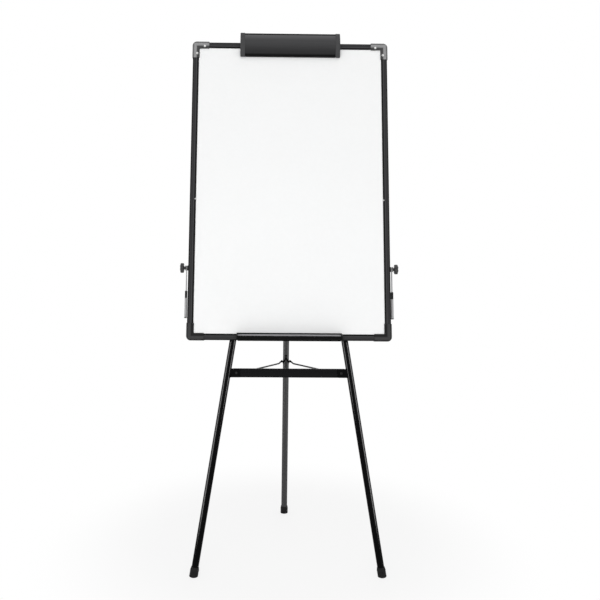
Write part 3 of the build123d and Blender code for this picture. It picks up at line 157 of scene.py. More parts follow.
def circle(x, y, radius, steps=24):
    """Points of a circle."""
    angles = [2 * pi * k / steps for k in range(steps)]
    return [(x + radius * cos(angle), y + radius * sin(angle)) for angle in angles]


def add_lathe(bm, profile, steps=48, at=Matrix.Identity(4), closed=False):
    """Turns a profile of (radius, height) round z."""
    rings = [[at @ Vector((x, y, height)) for x, y in circle(0.0, 0.0, radius, steps)]
             for radius, height in profile]
    add_rings(bm, rings, closed, not closed)


def add_wrap(bm, wraps, near, far):
    """Plate wrapped on the front of an upright tube, from rows of (x, lower, upper)."""
    rings = []
    for x, low, high in wraps:
        across = asin(x / far)
        rings.append([Vector((r * sin(across), -r * cos(across), z)) for r, z in
                      ((near, low), (far, low), (far, high), (near, high))])
    add_rings(bm, rings)


def add_bar(bm, section, u0, u1):
    """Bar along u with a section of (w, v) points."""
    add_rings(bm, [[Vector((u, v, w)) for w, v in section] for u in (u0, u1)])


def arc_points(first, middle, last, count):
    """Points on the arc through three points of a plane."""
    (ax, ay), (bx, by), (cx, cy) = first, middle, last
    d = 2 * (ax * (by - cy) + bx * (cy - ay) + cx * (ay - by))
    a2, b2, c2 = ax * ax + ay * ay, bx * bx + by * by, cx * cx + cy * cy
    x = (a2 * (by - cy) + b2 * (cy - ay) + c2 * (ay - by)) / d
    y = (a2 * (cx - bx) + b2 * (ax - cx) + c2 * (bx - ax)) / d
    radius = sqrt((ax - x) ** 2 + (ay - y) ** 2)
    start = atan2(ay - y, ax - x)
    mid = (atan2(by - y, bx - x) - start) % (2 * pi)
    sweep = (atan2(cy - y, cx - x) - start) % (2 * pi)
    if mid > sweep:
        sweep -= 2 * pi
    angles = [start + sweep * k / (count - 1) for k in range(count)]
    return [(x + radius * cos(angle), y + radius * sin(angle)) for angle in angles]


# Pieces

def shade(mesh, sharp):
    """Smooth shading that breaks at edges sharper than an angle in degrees."""
    mesh.polygons.foreach_set("use_smooth", [True] * len(mesh.polygons))
    mesh.set_sharp_from_angle(angle=radians(sharp))
    mesh.update()


def give_points(mesh, name, values, kind="FLOAT", field="value"):
    """Stores values on a mesh's points under a name."""
    mesh.attributes.new(name, kind, "POINT").data.foreach_set(field, values)


def paint_mesh(mesh, finish):
    """Gives a mesh one finish."""
    mesh.materials.clear()
    mesh.materials.append(finish_of(finish))


def body_of(node):
    """Body that a CAD node rides on."""
    for body, nodes in frame["record"]["behaviour"]["bodies"].items():
        if node in nodes:
            return body
    raise ValueError("no body holds " + node)


def hand_over(obj, finish, node, stands_for=True):
    """Gives a piece its finish, and the body of the CAD node that it stands for or goes with."""
    paint_mesh(obj.data, finish)
    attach(obj, body_of(node))
    if stands_for:
        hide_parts(node)


def new_object(name, mesh):
    """Puts a mesh into the scene."""
    obj = bpy.data.objects.new(name, mesh)
    bpy.context.scene.collection.objects.link(obj)
    return obj


def to_mesh(name, bm):
    """Turns a shape into a mesh."""
    mesh = bpy.data.meshes.new(name)
    bm.to_mesh(mesh)
    bm.free()
    return mesh


def make_piece(name, bm, finish, node, at=BOARD, sharp=35.0, across=None, stands_for=True):
    """Moves a shape into place and makes it a piece. The list across is stored on its points, where its
    finish reads it to place painted light and shade.
    """
    bmesh.ops.transform(bm, matrix=at, verts=bm.verts)
    bmesh.ops.recalc_face_normals(bm, faces=bm.faces)
    mesh = to_mesh(name, bm)
    if across:
        give_points(mesh, "across", across)
    shade(mesh, sharp)
    hand_over(new_object(name, mesh), finish, node, stands_for)


def settle(obj):
    """Turns an object's modifiers into its plain mesh."""
    graph = bpy.context.evaluated_depsgraph_get()
    mesh = bpy.data.meshes.new_from_object(obj.evaluated_get(graph), depsgraph=graph)
    obj.modifiers.clear()
    obj.data = mesh


def refine(node, finish, edge, segments=2):
    """Copy of a CAD node with smooth faces and edges rounded by some mm, in place of the node."""
    bm = bmesh.new()
    bm.from_mesh(frame["nodes"][node].data)
    bmesh.ops.remove_doubles(bm, verts=bm.verts, dist=MERGE_WITHIN)
    bmesh.ops.dissolve_limit(bm, angle_limit=FLAT_WITHIN, verts=bm.verts, edges=bm.edges)
    name = node + "_finished"
    obj = new_object(name, to_mesh(name, bm))
    bevel = obj.modifiers.new("Rounded edges", "BEVEL")
    bevel.width = edge / MM
    bevel.segments = segments
    bevel.limit_method = "ANGLE"
    bevel.angle_limit = ROUND_FROM
    bevel.use_clamp_overlap = True
    settle(obj)
    shade(obj.data, 32.0)
    hand_over(obj, finish, node)


# Node trees

def add_node(tree, kind, inputs=None, **settings):
    """Node with its settings and inputs. An input is a value, a socket to link, or a list of sockets."""
    node = tree.nodes.new(kind)
    for name, value in settings.items():
        setattr(node, name, value)
    for name, value in (inputs or {}).items():
        for source in value if isinstance(value, list) else (value,):
            if isinstance(source, bpy.types.NodeSocket):
                tree.links.new(source, node.inputs[name])
            else:
                node.inputs[name].default_value = source
    return node


def calc(tree, operation, first, second=0.0):
    """Result of a math node on two sockets or numbers."""
    return add_node(tree, "ShaderNodeMath", {0: first, 1: second}, operation=operation).outputs[0]


def vector_of(tree, x=0.0, y=0.0, z=0.0):
    """Vector made of sockets or numbers."""
    return add_node(tree, "ShaderNodeCombineXYZ", {0: x, 1: y, 2: z}).outputs[0]


def raised(tree, shape, z):
    """Geometry moved up by a socket or a number."""
    moved = {"Geometry": shape, "Translation": vector_of(tree, z=z)}
    return add_node(tree, "GeometryNodeTransform", moved).outputs[0]


def joined(tree, shapes):
    """Geometry sockets joined into one."""
    return add_node(tree, "GeometryNodeJoinGeometry", {"Geometry": shapes}).outputs[0]


def point_value(tree, name, kind):
    """Value that the points hold under a name."""
    held = add_node(tree, "GeometryNodeInputNamedAttribute", {"Name": name}, data_type=kind)
    return held.outputs["Attribute"]


def hoop(tree, radius, steps):
    """Circle to sweep or to sweep along."""
    circle = add_node(tree, "GeometryNodeCurvePrimitiveCircle", {"Resolution": steps, "Radius": radius})
    return circle.outputs["Curve"]


def swept(tree, path, section, caps=False):
    """Mesh of a section along a path."""
    inputs = {"Curve": path, "Profile Curve": section, "Fill Caps": caps}
    return add_node(tree, "GeometryNodeCurveToMesh", inputs).outputs["Mesh"]


def start_tree(name, inputs):
    """New tree with the sockets of a geometry input and of the named inputs."""
    tree = bpy.data.node_groups.new(name, "GeometryNodeTree")
    for label, kind in {"Geometry": "Geometry", **inputs}.items():
        tree.interface.new_socket(name=label, in_out="INPUT", socket_type="NodeSocket" + kind)
    tree.interface.new_socket(name="Geometry", in_out="OUTPUT", socket_type="NodeSocketGeometry")
    return tree, tree.nodes.new("NodeGroupInput").outputs


def end_tree(tree, shape, material):
    """Ends a tree in Realize Instances and Set Material."""
    real = add_node(tree, "GeometryNodeRealizeInstances", {"Geometry": shape})
    paint = add_node(tree, "GeometryNodeSetMaterial", {"Geometry": real.outputs[0], "Material": material})
    add_node(tree, "NodeGroupOutput", {"Geometry": paint.outputs[0]})
    return tree


SCREW_SIZES = ("Head Radius", "Head Height", "Shank Radius", "Shank Length", "Recess Width", "Recess Depth")


def screw_tree():
    """Screws with a domed, cross recessed head on every point, facing its own way."""
    sizes = {name: "Float" for name in SCREW_SIZES}
    tree, given = start_tree("Recessed screws", {**sizes, "Seed": "Int", "Material": "Material"})
    radius, height, shank_radius, shank_length, width, depth = (given[name] for name in SCREW_SIZES)
    half, quarter = (calc(tree, "MULTIPLY", height, share) for share in (0.5, 0.25))
    disc = add_node(tree, "GeometryNodeMeshCylinder", {
        "Vertices": 36, "Fill Segments": 5, "Radius": radius, "Depth": half})
    place = tree.nodes.new("GeometryNodeInputPosition").outputs[0]
    x, y, z = add_node(tree, "ShaderNodeSeparateXYZ", {0: place}).outputs
    square = calc(tree, "ADD", calc(tree, "POWER", x, 2.0), calc(tree, "POWER", y, 2.0))
    share = calc(tree, "DIVIDE", square, calc(tree, "POWER", radius, 2.0))
    rise = calc(tree, "MULTIPLY", calc(tree, "SUBTRACT", 1.0, share), half)
    on_top = calc(tree, "GREATER_THAN", z, quarter)
    dome = add_node(tree, "GeometryNodeSetPosition", {
        "Geometry": raised(tree, disc.outputs["Mesh"], quarter),
        "Offset": vector_of(tree, z=calc(tree, "MULTIPLY", rise, on_top))})
    reach = calc(tree, "MULTIPLY", radius, 1.25)
    slots = [add_node(tree, "GeometryNodeMeshCube", {"Size": vector_of(tree, x, y, height)}).outputs[0]
             for x, y in ((reach, width), (width, reach))]
    top = calc(tree, "SUBTRACT", calc(tree, "MULTIPLY", height, 1.5), depth)
    head = add_node(tree, "GeometryNodeMeshBoolean", {
        "Mesh 1": dome.outputs[0], "Mesh 2": raised(tree, joined(tree, slots), top)}, operation="DIFFERENCE")
    shank = add_node(tree, "GeometryNodeMeshCylinder", {
        "Vertices": 20, "Radius": shank_radius, "Depth": shank_length})
    sunk = raised(tree, shank.outputs["Mesh"], calc(tree, "MULTIPLY", shank_length, -0.5))
    facing = point_value(tree, "facing", "FLOAT_VECTOR")
    turn = add_node(tree, "FunctionNodeAlignRotationToVector", {"Vector": facing}, axis="Z")
    spread = add_node(tree, "GeometryNodeInstanceOnPoints", {
        "Points": given["Geometry"], "Instance": joined(tree, [head.outputs["Mesh"], sunk]),
        "Rotation": turn.outputs["Rotation"]})
    chance = add_node(tree, "FunctionNodeRandomValue", {"Seed": given["Seed"]}, data_type="FLOAT").outputs[1]
    twisted = add_node(tree, "GeometryNodeRotateInstances", {
        "Instances": spread.outputs[0], "Rotation": vector_of(tree, z=calc(tree, "MULTIPLY", chance, pi))})
    return end_tree(tree, twisted.outputs[0], given["Material"])


def wire_tree():
    """Round wire along a row of points, bent at each point by its own radius."""
    tree, given = start_tree("Bent wire", {
        "Wire Radius": "Float", "Bend Steps": "Int", "Material": "Material"})
    path = add_node(tree, "GeometryNodeMeshToCurve", {"Mesh": given["Geometry"]})
    rounded = add_node(tree, "GeometryNodeFilletCurve", {
        "Curve": path.outputs["Curve"], "Radius": point_value(tree, "bend", "FLOAT"),
        "Count": given["Bend Steps"]}, mode="POLY")
    wire = swept(tree, rounded.outputs["Curve"], hoop(tree, given["Wire Radius"], 16), True)
    return end_tree(tree, wire, given["Material"])


def rib_tree():
    """Ribs repeated up a turned body, joined to it."""
    tree, given = start_tree("Ribbed foot", {
        "Rib Count": "Int", "First Rib": "Float", "Pitch": "Float", "Body Radius": "Float",
        "Rib Radius": "Float", "Material": "Material"})
    row = add_node(tree, "GeometryNodeMeshLine", {
        "Count": given["Rib Count"], "Start Location": vector_of(tree, z=given["First Rib"]),
        "Offset": vector_of(tree, z=given["Pitch"])})
    rib = swept(tree, hoop(tree, given["Body Radius"], 48), hoop(tree, given["Rib Radius"], 10))
    ribs = add_node(tree, "GeometryNodeInstanceOnPoints", {"Points": row.outputs["Mesh"], "Instance": rib})
    return end_tree(tree, joined(tree, [given["Geometry"], ribs.outputs[0]]), given["Material"])


def run_tree(obj, name, maker, values):
    """Runs a tree, built when first needed, on an object with its inputs, and keeps the plain mesh."""
    tree = bpy.data.node_groups.get(name) or maker()
    modifier = obj.modifiers.new(name, "NODES")
    modifier.node_group = tree
    for item in tree.interface.items_tree:
        if item.item_type == "SOCKET" and item.in_out == "INPUT" and item.name in values:
            modifier[item.identifier] = values[item.name]
    settle(obj)


def screw_row(name, places, sizes, finish, node, seed, at=BOARD, stands_for=True):
    """Screws at places of (point, facing), with sizes in the order of SCREW_SIZES, all in mm."""
    mesh = bpy.data.meshes.new(name)
    mesh.from_pydata([at @ Vector(point) for point, facing in places], [], [])
    turn = at.to_3x3().normalized()
    ways = [(turn @ Vector(facing)).normalized() for point, facing in places]
    give_points(mesh, "facing", [c for way in ways for c in way], "FLOAT_VECTOR", "vector")
    values = {label: size / MM for label, size in zip(SCREW_SIZES, sizes)}
    obj = new_object(name, mesh)
    run_tree(obj, "Recessed screws", screw_tree, {**values, "Seed": seed, "Material": finish_of(finish)})
    shade(obj.data, 40.0)
    hand_over(obj, finish, node, stands_for)


def wire_piece(name, paths, radius, finish, node):
    """Wires along paths of (point, bend radius) in board millimetres."""
    points, edges, bends = [], [], []
    for path in paths:
        first = len(points)
        points += [BOARD @ Vector(point) for point, bend in path]
        bends += [bend / MM for point, bend in path]
        edges += [(first + k, first + k + 1) for k in range(len(path) - 1)]
    mesh = bpy.data.meshes.new(name)
    mesh.from_pydata(points, edges, [])
    give_points(mesh, "bend", bends)
    obj = new_object(name, mesh)
    run_tree(obj, "Bent wire", wire_tree,
             {"Wire Radius": radius / MM, "Bend Steps": 7, "Material": finish_of(finish)})
    shade(obj.data, 50.0)
    hand_over(obj, finish, node)


# Finishes

NOISE_SPAN = (0.3, 0.7)
PATCH_SCALE = 14.0
COAT_ROUGHNESS = 0.08
RIM_REACH = 0.02
UPRIGHT_GRAIN, LEVEL_GRAIN = (260, 260, 1.5), (1.5, 260, 260)


def start_material(name):
    """New empty material with its tree and its object coordinates."""
    material = bpy.data.materials.new(name)
    material.use_nodes = True
    tree = material.node_tree
    tree.nodes.clear()
    return material, tree, tree.nodes.new("ShaderNodeTexCoord").outputs["Object"]


def grain_noise(tree, place, stretch, scale, detail=4.0, rough=0.55):
    """Noise on object coordinates, stretched by a mapping."""
    mapping = add_node(tree, "ShaderNodeMapping", {"Vector": place, "Scale": stretch})
    noise = add_node(tree, "ShaderNodeTexNoise", {
        "Vector": mapping.outputs[0], "Scale": scale, "Detail": detail, "Roughness": rough})
    return noise.outputs["Fac"]


def ramp(tree, factor, stops, easing="LINEAR"):
    """Colours along a factor, from stops of (position, colour)."""
    node = add_node(tree, "ShaderNodeValToRGB", {0: factor})
    node.color_ramp.interpolation = easing
    elements = node.color_ramp.elements
    elements[0].position, elements[1].position = stops[0][0], stops[-1][0]
    for position, colour in stops[1:-1]:
        elements.new(position)
    for element, (position, colour) in zip(elements, stops):
        element.color = (*colour, 1)
    return node.outputs[0]


def tint(colour, share):
    """A colour made lighter or darker by a share."""
    return tuple(min(1.0, channel * (1 + share)) for channel in colour)


def rim_share(tree, place, rim):
    """Distance from the board's nearer outer edge at its upper or lower end, as a share of RIM_REACH; it
    places the painted light and shade on the corner covers.
    """
    up = add_node(tree, "ShaderNodeVectorMath", {0: place, 1: (0.0, sin(LEAN), cos(LEAN))},
                  operation="DOT_PRODUCT").outputs["Value"]
    foot = ORIGIN_SHIFT / MM * sin(LEAN)
    ends = (V_TOP / MM + foot, up) if rim == "upper" else (up, BOARD_LIFT / MM + foot)
    x = add_node(tree, "ShaderNodeSeparateXYZ", {0: place}).outputs[0]
    from_side = calc(tree, "SUBTRACT", HALF_WIDTH / MM, calc(tree, "ABSOLUTE", x))
    nearer = calc(tree, "MINIMUM", calc(tree, "SUBTRACT", *ends), from_side)
    return calc(tree, "DIVIDE", nearer, RIM_REACH)


def surface(name, colour, roughness=0.4, metallic=0.0, stretch=(1, 1, 1), grain=600.0, relief=0.1,
            depth=0.00005, tone=0.1, swing=0.06, specular=0.5, coat=0.0, painted_light_bands=None, rim=None):
    """Finish with a fine grain and patches in its gloss. Bands of painted light and shade multiply its colour
    along its points or from its rim.
    """
    material, tree, place = start_material(name)
    fine = grain_noise(tree, place, stretch, grain)
    broad = grain_noise(tree, place, (1, 1, 1), PATCH_SCALE, 5.0, 0.6)
    low, high = NOISE_SPAN
    base = ramp(tree, fine, [(low, tint(colour, -tone)), (high, tint(colour, tone))])
    # Painted light and shade: the bands multiply the colour by levels along the points' share across, or by
    # distance from the board's rim.
    if painted_light_bands:
        share = rim_share(tree, place, rim) if rim else add_node(
            tree, "ShaderNodeAttribute", attribute_name="across").outputs["Fac"]
        tones = ramp(tree, share, [(position, (level,) * 3) for position, level in painted_light_bands], "EASE")
        base = add_node(tree, "ShaderNodeMix", {"Factor": 1.0, "A": base, "B": tones},
                        data_type="RGBA", blend_type="MULTIPLY").outputs["Result"]
    gloss = add_node(tree, "ShaderNodeMapRange", {
        "Value": broad, "From Min": low, "From Max": high, "To Min": max(0.03, roughness - swing),
        "To Max": roughness + swing})
    bump = add_node(tree, "ShaderNodeBump", {"Height": fine, "Strength": relief, "Distance": depth})
    shader = add_node(tree, "ShaderNodeBsdfPrincipled", {
        "Base Color": base, "Roughness": gloss.outputs[0], "Normal": bump.outputs[0], "Metallic": metallic,
        "Specular IOR Level": specular, "Coat Weight": coat, "Coat Roughness": COAT_ROUGHNESS})
    add_node(tree, "ShaderNodeOutputMaterial", {0: shader.outputs[0]})
    return material


# Rails: the bands paint light and shade across the face, painted highlight stripes on the bead and darker
# edges, by the share across it.
RAIL = dict(roughness=0.42, metallic=0.15, grain=6.0, relief=0.12, depth=0.00004, tone=0.16, swing=0.07,
            specular=0.06,
            painted_light_bands=[(0.0, 0.3), (0.12, 0.4), (0.3, 1.1), (0.48, 0.8), (0.66, 1.5), (0.79, 0.2), (1.0, 0.5)])
MOULDED = dict(roughness=0.55, relief=0.3, tone=0.12, specular=0.12)
COVER = dict(MOULDED, grain=1500.0, relief=0.35)
PAINT = dict(grain=900.0, depth=0.00003, tone=0.2)
DULL_PAINT = dict(roughness=0.5, grain=900.0, tone=0.08)
STEEL = dict(grain=1600.0)

# Every finish: the material's name, its colour or the setting that holds it, and its surface
FINISHES = {
    "standing rail": ("Anodised rail, upright grain", "rail", dict(RAIL, stretch=UPRIGHT_GRAIN)),
    "lying rail": ("Anodised rail, level grain", "rail", dict(RAIL, stretch=LEVEL_GRAIN)),
    # Tray: the bands darken the trough to near black and paint a light band on the inner face of its back
    # wall as a painted highlight.
    "tray metal": ("Anodised tray", "rail", dict(
        stretch=LEVEL_GRAIN, grain=6.0, depth=0.00004, tone=0.14, specular=0.05,
        painted_light_bands=[(0.0, 0.12), (0.4, 0.18), (0.6, 10.0), (1.0, 12.0)])),
    # Corner covers: the bands paint light and shade by distance from the board's outer edge, a lighter outer
    # band and a darker inner band round the holes; the upper and lower finishes are lit and shaded copies of
    # one plastic, painted light from above.
    "upper cover": ("Moulded corner, upper", "upper_cover", dict(
        COVER, specular=0.15, rim="upper",
        painted_light_bands=[(0.0, 0.6), (0.12, 0.75), (0.26, 1.5), (0.52, 1.4), (0.66, 0.32), (1.0, 0.25)])),
    "lower cover": ("Moulded corner, lower", "lower_cover", dict(
        COVER, rim="lower",
        painted_light_bands=[(0.0, 0.7), (0.12, 0.8), (0.26, 1.5), (0.52, 1.4), (0.68, 0.4), (1.0, 0.4)])),
    "clamp cap": ("Moulded clamp cap", "clamp_cap", dict(MOULDED, grain=1400.0)),
    # Clamp cover: the bands paint light from above, lighter up its face, and painted shade on its rolled
    # edges and lip.
    "clamp paint": ("Satin clamp cover", "clamp_cover", dict(
        roughness=0.36, stretch=LEVEL_GRAIN, grain=6.0, relief=0.08, depth=0.00004, swing=0.05,
        specular=0.06, painted_light_bands=[(0.0, 0.1), (0.04, 0.1), (0.12, 0.9), (0.6, 1.9), (1.0, 3.9)])),
    "white enamel": ("White enamel", "enamel", dict(
        roughness=0.16, grain=90.0, relief=0.02, depth=0.0001, tone=0.006, swing=0.05, coat=0.3)),
    "fibreboard": ("Pressed fibre core", (0.42, 0.31, 0.2), dict(
        roughness=0.85, stretch=(1, 6, 1), grain=700.0, relief=0.6, tone=0.25)),
    "back sheet": ("Zinc coated back sheet", "back_sheet", dict(
        metallic=0.7, grain=120.0, relief=0.05, tone=0.14, swing=0.1)),
    "black paint": ("Gloss black paint", "black_paint", dict(
        PAINT, roughness=0.12, relief=0.04, swing=0.03, specular=0.05)),
    "crossbar paint": ("Satin black crossbar", "crossbar_paint", dict(
        PAINT, roughness=0.25, relief=0.05, swing=0.04, specular=0.08)),
    "rear leg paint": ("Dull dark paint", "rear_leg", dict(DULL_PAINT, specular=0.12)),
    # Saddle: the chevron, share 1, is darkened as painted shade where the rods seem to meet.
    "saddle paint": ("Saddle, dark chevron", "rear_leg", dict(
        DULL_PAINT, specular=0.06, painted_light_bands=[(0.0, 1.0), (0.4, 1.0), (0.6, 0.03), (1.0, 0.03)])),
    "white nylon": ("White nylon bushes", (0.88, 0.88, 0.87), dict(
        roughness=0.5, grain=900.0, relief=0.05, tone=0.02)),
    "black plastic": ("Moulded black plastic", "black_plastic", dict(MOULDED, grain=1300.0, tone=0.15)),
    "rubber": ("Black rubber", "rubber", dict(
        roughness=0.72, grain=900.0, relief=0.45, depth=0.0001, tone=0.2, specular=0.2)),
    "bright steel": ("Zinc plated screws", (0.55, 0.55, 0.54), dict(
        STEEL, roughness=0.3, metallic=0.9, tone=0.08)),
    "blackened screws": ("Blackened screws", (0.018, 0.018, 0.018), dict(STEEL, metallic=0.1, specular=0.15)),
    "dark steel": ("Blackened steel wire", (0.008, 0.008, 0.0085), dict(
        roughness=0.35, grain=1200.0, tone=0.15, specular=0.15)),
    "arm metal": ("Satin arm metal", "arm_metal", dict(
        metallic=0.35, stretch=(260, 260, 3), grain=5.0, depth=0.00004, specular=0.2)),
    "knob metal": ("Cast knob", "knob", dict(
        roughness=0.42, metallic=0.3, grain=1100.0, relief=0.3, tone=0.12, specular=0.25)),
}
MADE = {}


def finish_of(name):
    """The material of a finish, made when it is first asked for."""
    if name not in MADE:
        label, colour, values = FINISHES[name]
        if isinstance(colour, str):
            colour = getattr(bpy.context.scene.easel_finish, colour)
        MADE[name] = surface(label, colour, **values)
    return MADE[name]


# Settings a user would change

def length(name, description, default, low):
    """Setting of a length in millimetres."""
    return FloatProperty(name=name, description=description + " in millimetres", default=default, min=low)


def colour(name, description, *tone):
    """Setting of a colour."""
    return FloatVectorProperty(name=name, description=description, subtype="COLOR", default=tone)


class EaselSizes(bpy.types.PropertyGroup):
    """Sizes of the details that the frame leaves open."""
    knob_lobes: IntProperty(name="Knob lobes", description="Lobes round each hand knob", default=6, min=3)
    knob_radius: length("Knob radius", "Reach of a knob's lobes", 14.5, 5.0)
    rib_count: IntProperty(name="Foot ribs", description="Ribs round each rubber foot", default=3, min=1)
    rib_radius: length("Rib size", "Radius of a foot's rib", 0.7, 0.1)
    edge_round: length("Edge rounding", "Rounding of moulded edges", 0.5, 0.05)
    rod_radius: length("Rod radius", "Radius of the spreader rods", 2.5, 0.5)
    recess_width: length("Recess width", "Width of a screw's cross recess", 0.75, 0.2)


class EaselFinish(bpy.types.PropertyGroup):
    """Colours of the easel's finishes."""
    rail: colour("Rails", "Anodised rails and tray", 0.038, 0.038, 0.0395)
    # The upper covers are made lighter and the lower covers darker, as painted light from above on one
    # moulded plastic.
    upper_cover: colour("Upper covers", "Corner covers above", 0.2, 0.2, 0.202)
    lower_cover: colour("Lower covers", "Corner covers below", 0.032, 0.032, 0.0325)
    clamp_cap: colour("Clamp caps", "End caps of the clamp", 0.06, 0.06, 0.062)
    clamp_cover: colour("Clamp cover", "Cover of the pad clamp", 0.03, 0.03, 0.031)
    enamel: colour("Enamel", "Writing surface", 0.9, 0.905, 0.905)
    back_sheet: colour("Back sheet", "Back of the board", 0.42, 0.43, 0.44)
    black_paint: colour("Black paint", "Front legs and head", 0.0015, 0.0015, 0.0017)
    crossbar_paint: colour("Crossbar paint", "Crossbar", 0.0045, 0.0045, 0.0051)
    rear_leg: colour("Rear leg", "Rear leg's paint", 0.047, 0.047, 0.048)
    black_plastic: colour("Black plastic", "Clips, guides and caps", 0.011, 0.011, 0.0115)
    rubber: colour("Rubber", "Feet and pad", 0.01, 0.01, 0.01)
    arm_metal: colour("Arm metal", "Side arms", 0.36, 0.36, 0.365)
    knob: colour("Knobs", "Hand knobs", 0.055, 0.055, 0.056)


# Board

RAIL_FACE = 19.0
RAIL_MITRE = 12.5
RAIL_UNDER_COVER = 43.0
BUSH_FRONT = W_FRONT + 1.3


def rail_section():
    """Section of a rail as (inwards, forwards, share across the face); the share places the painted light and
    shade of its finish.
    """
    bead = arc_points((15.0, 17.25), (9.3, 18.15), (0.9, 16.1), 15)
    points = [(0.0, 15.2), (0.0, 1.0), (0.3, 0.3), (1.0, 0.0), (18.6, 0.0), (19.0, 0.4), (19.0, 3.6),
              (11.95, 3.6), (11.95, 16.0), (19.0, 16.0), (19.0, 16.9), (18.7, 17.25), (16.1, 17.25),
              (15.9, 16.6), (15.2, 16.6)]
    return [(x, y, x / RAIL_FACE) for x, y in points + bead] + [(0.3, 15.8, 0.02)]


def rail_points(side, end):
    """Section of a rail placed at one of its ends, in board millimetres."""
    ring = []
    for x, y, share in rail_section():
        mitre = max(x, RAIL_MITRE)
        if side == "top":
            ring.append((end * (HALF_WIDTH - RAIL_UNDER_COVER), V_TOP - x, W_BACK + y))
        elif side == "bottom":
            ring.append((end * (HALF_WIDTH - mitre), BOARD_LIFT + x, W_BACK + y))
        else:
            v = V_TOP - RAIL_UNDER_COVER if end > 0 else BOARD_LIFT + mitre
            ring.append((SIDES[side] * (HALF_WIDTH - x), v, W_BACK + y))
    return [Vector(point) for point in ring]


class EASEL_OT_rails(bpy.types.Operator):
    """Extruded rails with a raised bead, mitred under the lower covers"""
    bl_idname = "easel.rails"
    bl_label = "Rails"

    def execute(self, context):
        # The share across each rail's face places its painted light and shade.
        share = [entry[2] for entry in rail_section()]
        for side, finish in (("top", "lying rail"), ("bottom", "lying rail"), ("left", "standing rail"),
                             ("right", "standing rail")):
            bm = bmesh.new()
            add_rings(bm, [rail_points(side, -1), rail_points(side, 1)])
            make_piece("rail_" + side, bm, finish, side + "_rail", sharp=28.0, across=share * 2)
        return {"FINISHED"}


class EASEL_OT_covers(bpy.types.Operator):
    """Moulded covers over the four corners"""
    bl_idname = "easel.covers"
    bl_label = "Corner covers"

    def execute(self, context):
        edge = context.scene.easel_sizes.edge_round
        bushes = bmesh.new()
        funnel = [(3.46, BUSH_FRONT - 6.0), (3.46, BUSH_FRONT - 0.3), (3.2, BUSH_FRONT),
                  (1.2, BUSH_FRONT - 2.6), (1.2, BUSH_FRONT - 6.0)]
        for name, side in SIDES.items():
            refine("corner_top_" + name, "upper cover", edge)
            refine("corner_bottom_" + name, "lower cover", edge)
            for along, inwards in ((HOLE_ALONG, HOLE_IN), (HOLE_IN, HOLE_ALONG)):
                place = Matrix.Translation((side * (HALF_WIDTH - along), V_TOP - inwards, 0))
                add_lathe(bushes, funnel, 32, place, closed=True)
        make_piece("hanging_hole_bushes", bushes, "white nylon", "corner_top_left", stands_for=False)
        return {"FINISHED"}


class EASEL_OT_board(bpy.types.Operator):
    """White writing surface, its core and its back sheet, which keep their own meshes"""
    bl_idname = "easel.board"
    bl_label = "Board panel"

    def execute(self, context):
        for node, finish in (("writing_surface", "white enamel"), ("board_core", "fibreboard"),
                             ("back_sheet", "back sheet")):
            paint_mesh(frame["nodes"][node].data, finish)
        return {"FINISHED"}


# Tripod

TUBE_START = 5.05
TUBE_WALL = 1.2
FRONT_LEG_LENGTH = (V_TOP - 10.0) / cos(SPLAY)
REAR_TUBE_LENGTH = rear_leg_length() + 8.0
REAR_LEG = rear_leg_matrix()
PIN_UP = rear_leg_length() - SPREADER_DROP
SADDLE_MIDDLE = PIN_UP + 6.0
SADDLE_SKIN = 1.4
SADDLE_RIVET = 19.0
ROD_HOLD = 4.3
ROD_BESIDE = 13.5
PIN_RADIUS, PIN_HEAD_RADIUS = 1.8, 2.3


def tube_profile(end):
    """Closed section of a tube as (radius, height), its ends broken."""
    wall = LEG_RADIUS - TUBE_WALL
    return [(LEG_RADIUS, TUBE_START), (LEG_RADIUS, end - 0.4), (LEG_RADIUS - 0.4, end), (wall, end),
            (wall, TUBE_START)]


class EASEL_OT_legs(bpy.types.Operator):
    """Tubes of the three legs"""
    bl_idname = "easel.legs"
    bl_label = "Legs"

    def execute(self, context):
        tubes = [(name, FRONT_LEG_LENGTH, front_leg_matrix(side), "black paint", "front_leg_" + name)
                 for name, side in SIDES.items()]
        tubes.append(("rear", REAR_TUBE_LENGTH, REAR_LEG, "rear leg paint", "rear_leg"))
        for name, end, at, finish, node in tubes:
            bm = bmesh.new()
            add_lathe(bm, tube_profile(end), 64, closed=True)
            make_piece("leg_tube_" + name, bm, finish, node, at)
        return {"FINISHED"}


def foot_profile():
    """Closed section of a rubber foot as (radius, height)."""
    outer, tube = LEG_RADIUS + 2.6, LEG_RADIUS + 0.05
    return [(0.01, -2.5), (9.6, -2.5), (11.6, -1.7), (outer, 0.2), (outer, 1.6), (outer - 0.5, 2.4),
            (outer - 0.5, 15.0), (outer, 16.0), (outer, 18.6), (outer - 0.4, 19.6), (LEG_RADIUS + 1.6, 22.0),
            (LEG_RADIUS + 1.4, 24.6), (LEG_RADIUS + 0.9, 25.4), (tube, 25.5), (tube, 5.0), (0.01, 5.0)]


def plug_profile(end):
    """Section of the plug in a tube's upper end."""
    return [(0.01, end - 3), (8.7, end - 3), (8.7, end), (9.9, end + 0.05), (9.95, end + 0.4),
            (9.3, end + 0.95), (6.0, end + 1.2), (0.01, end + 1.2)]


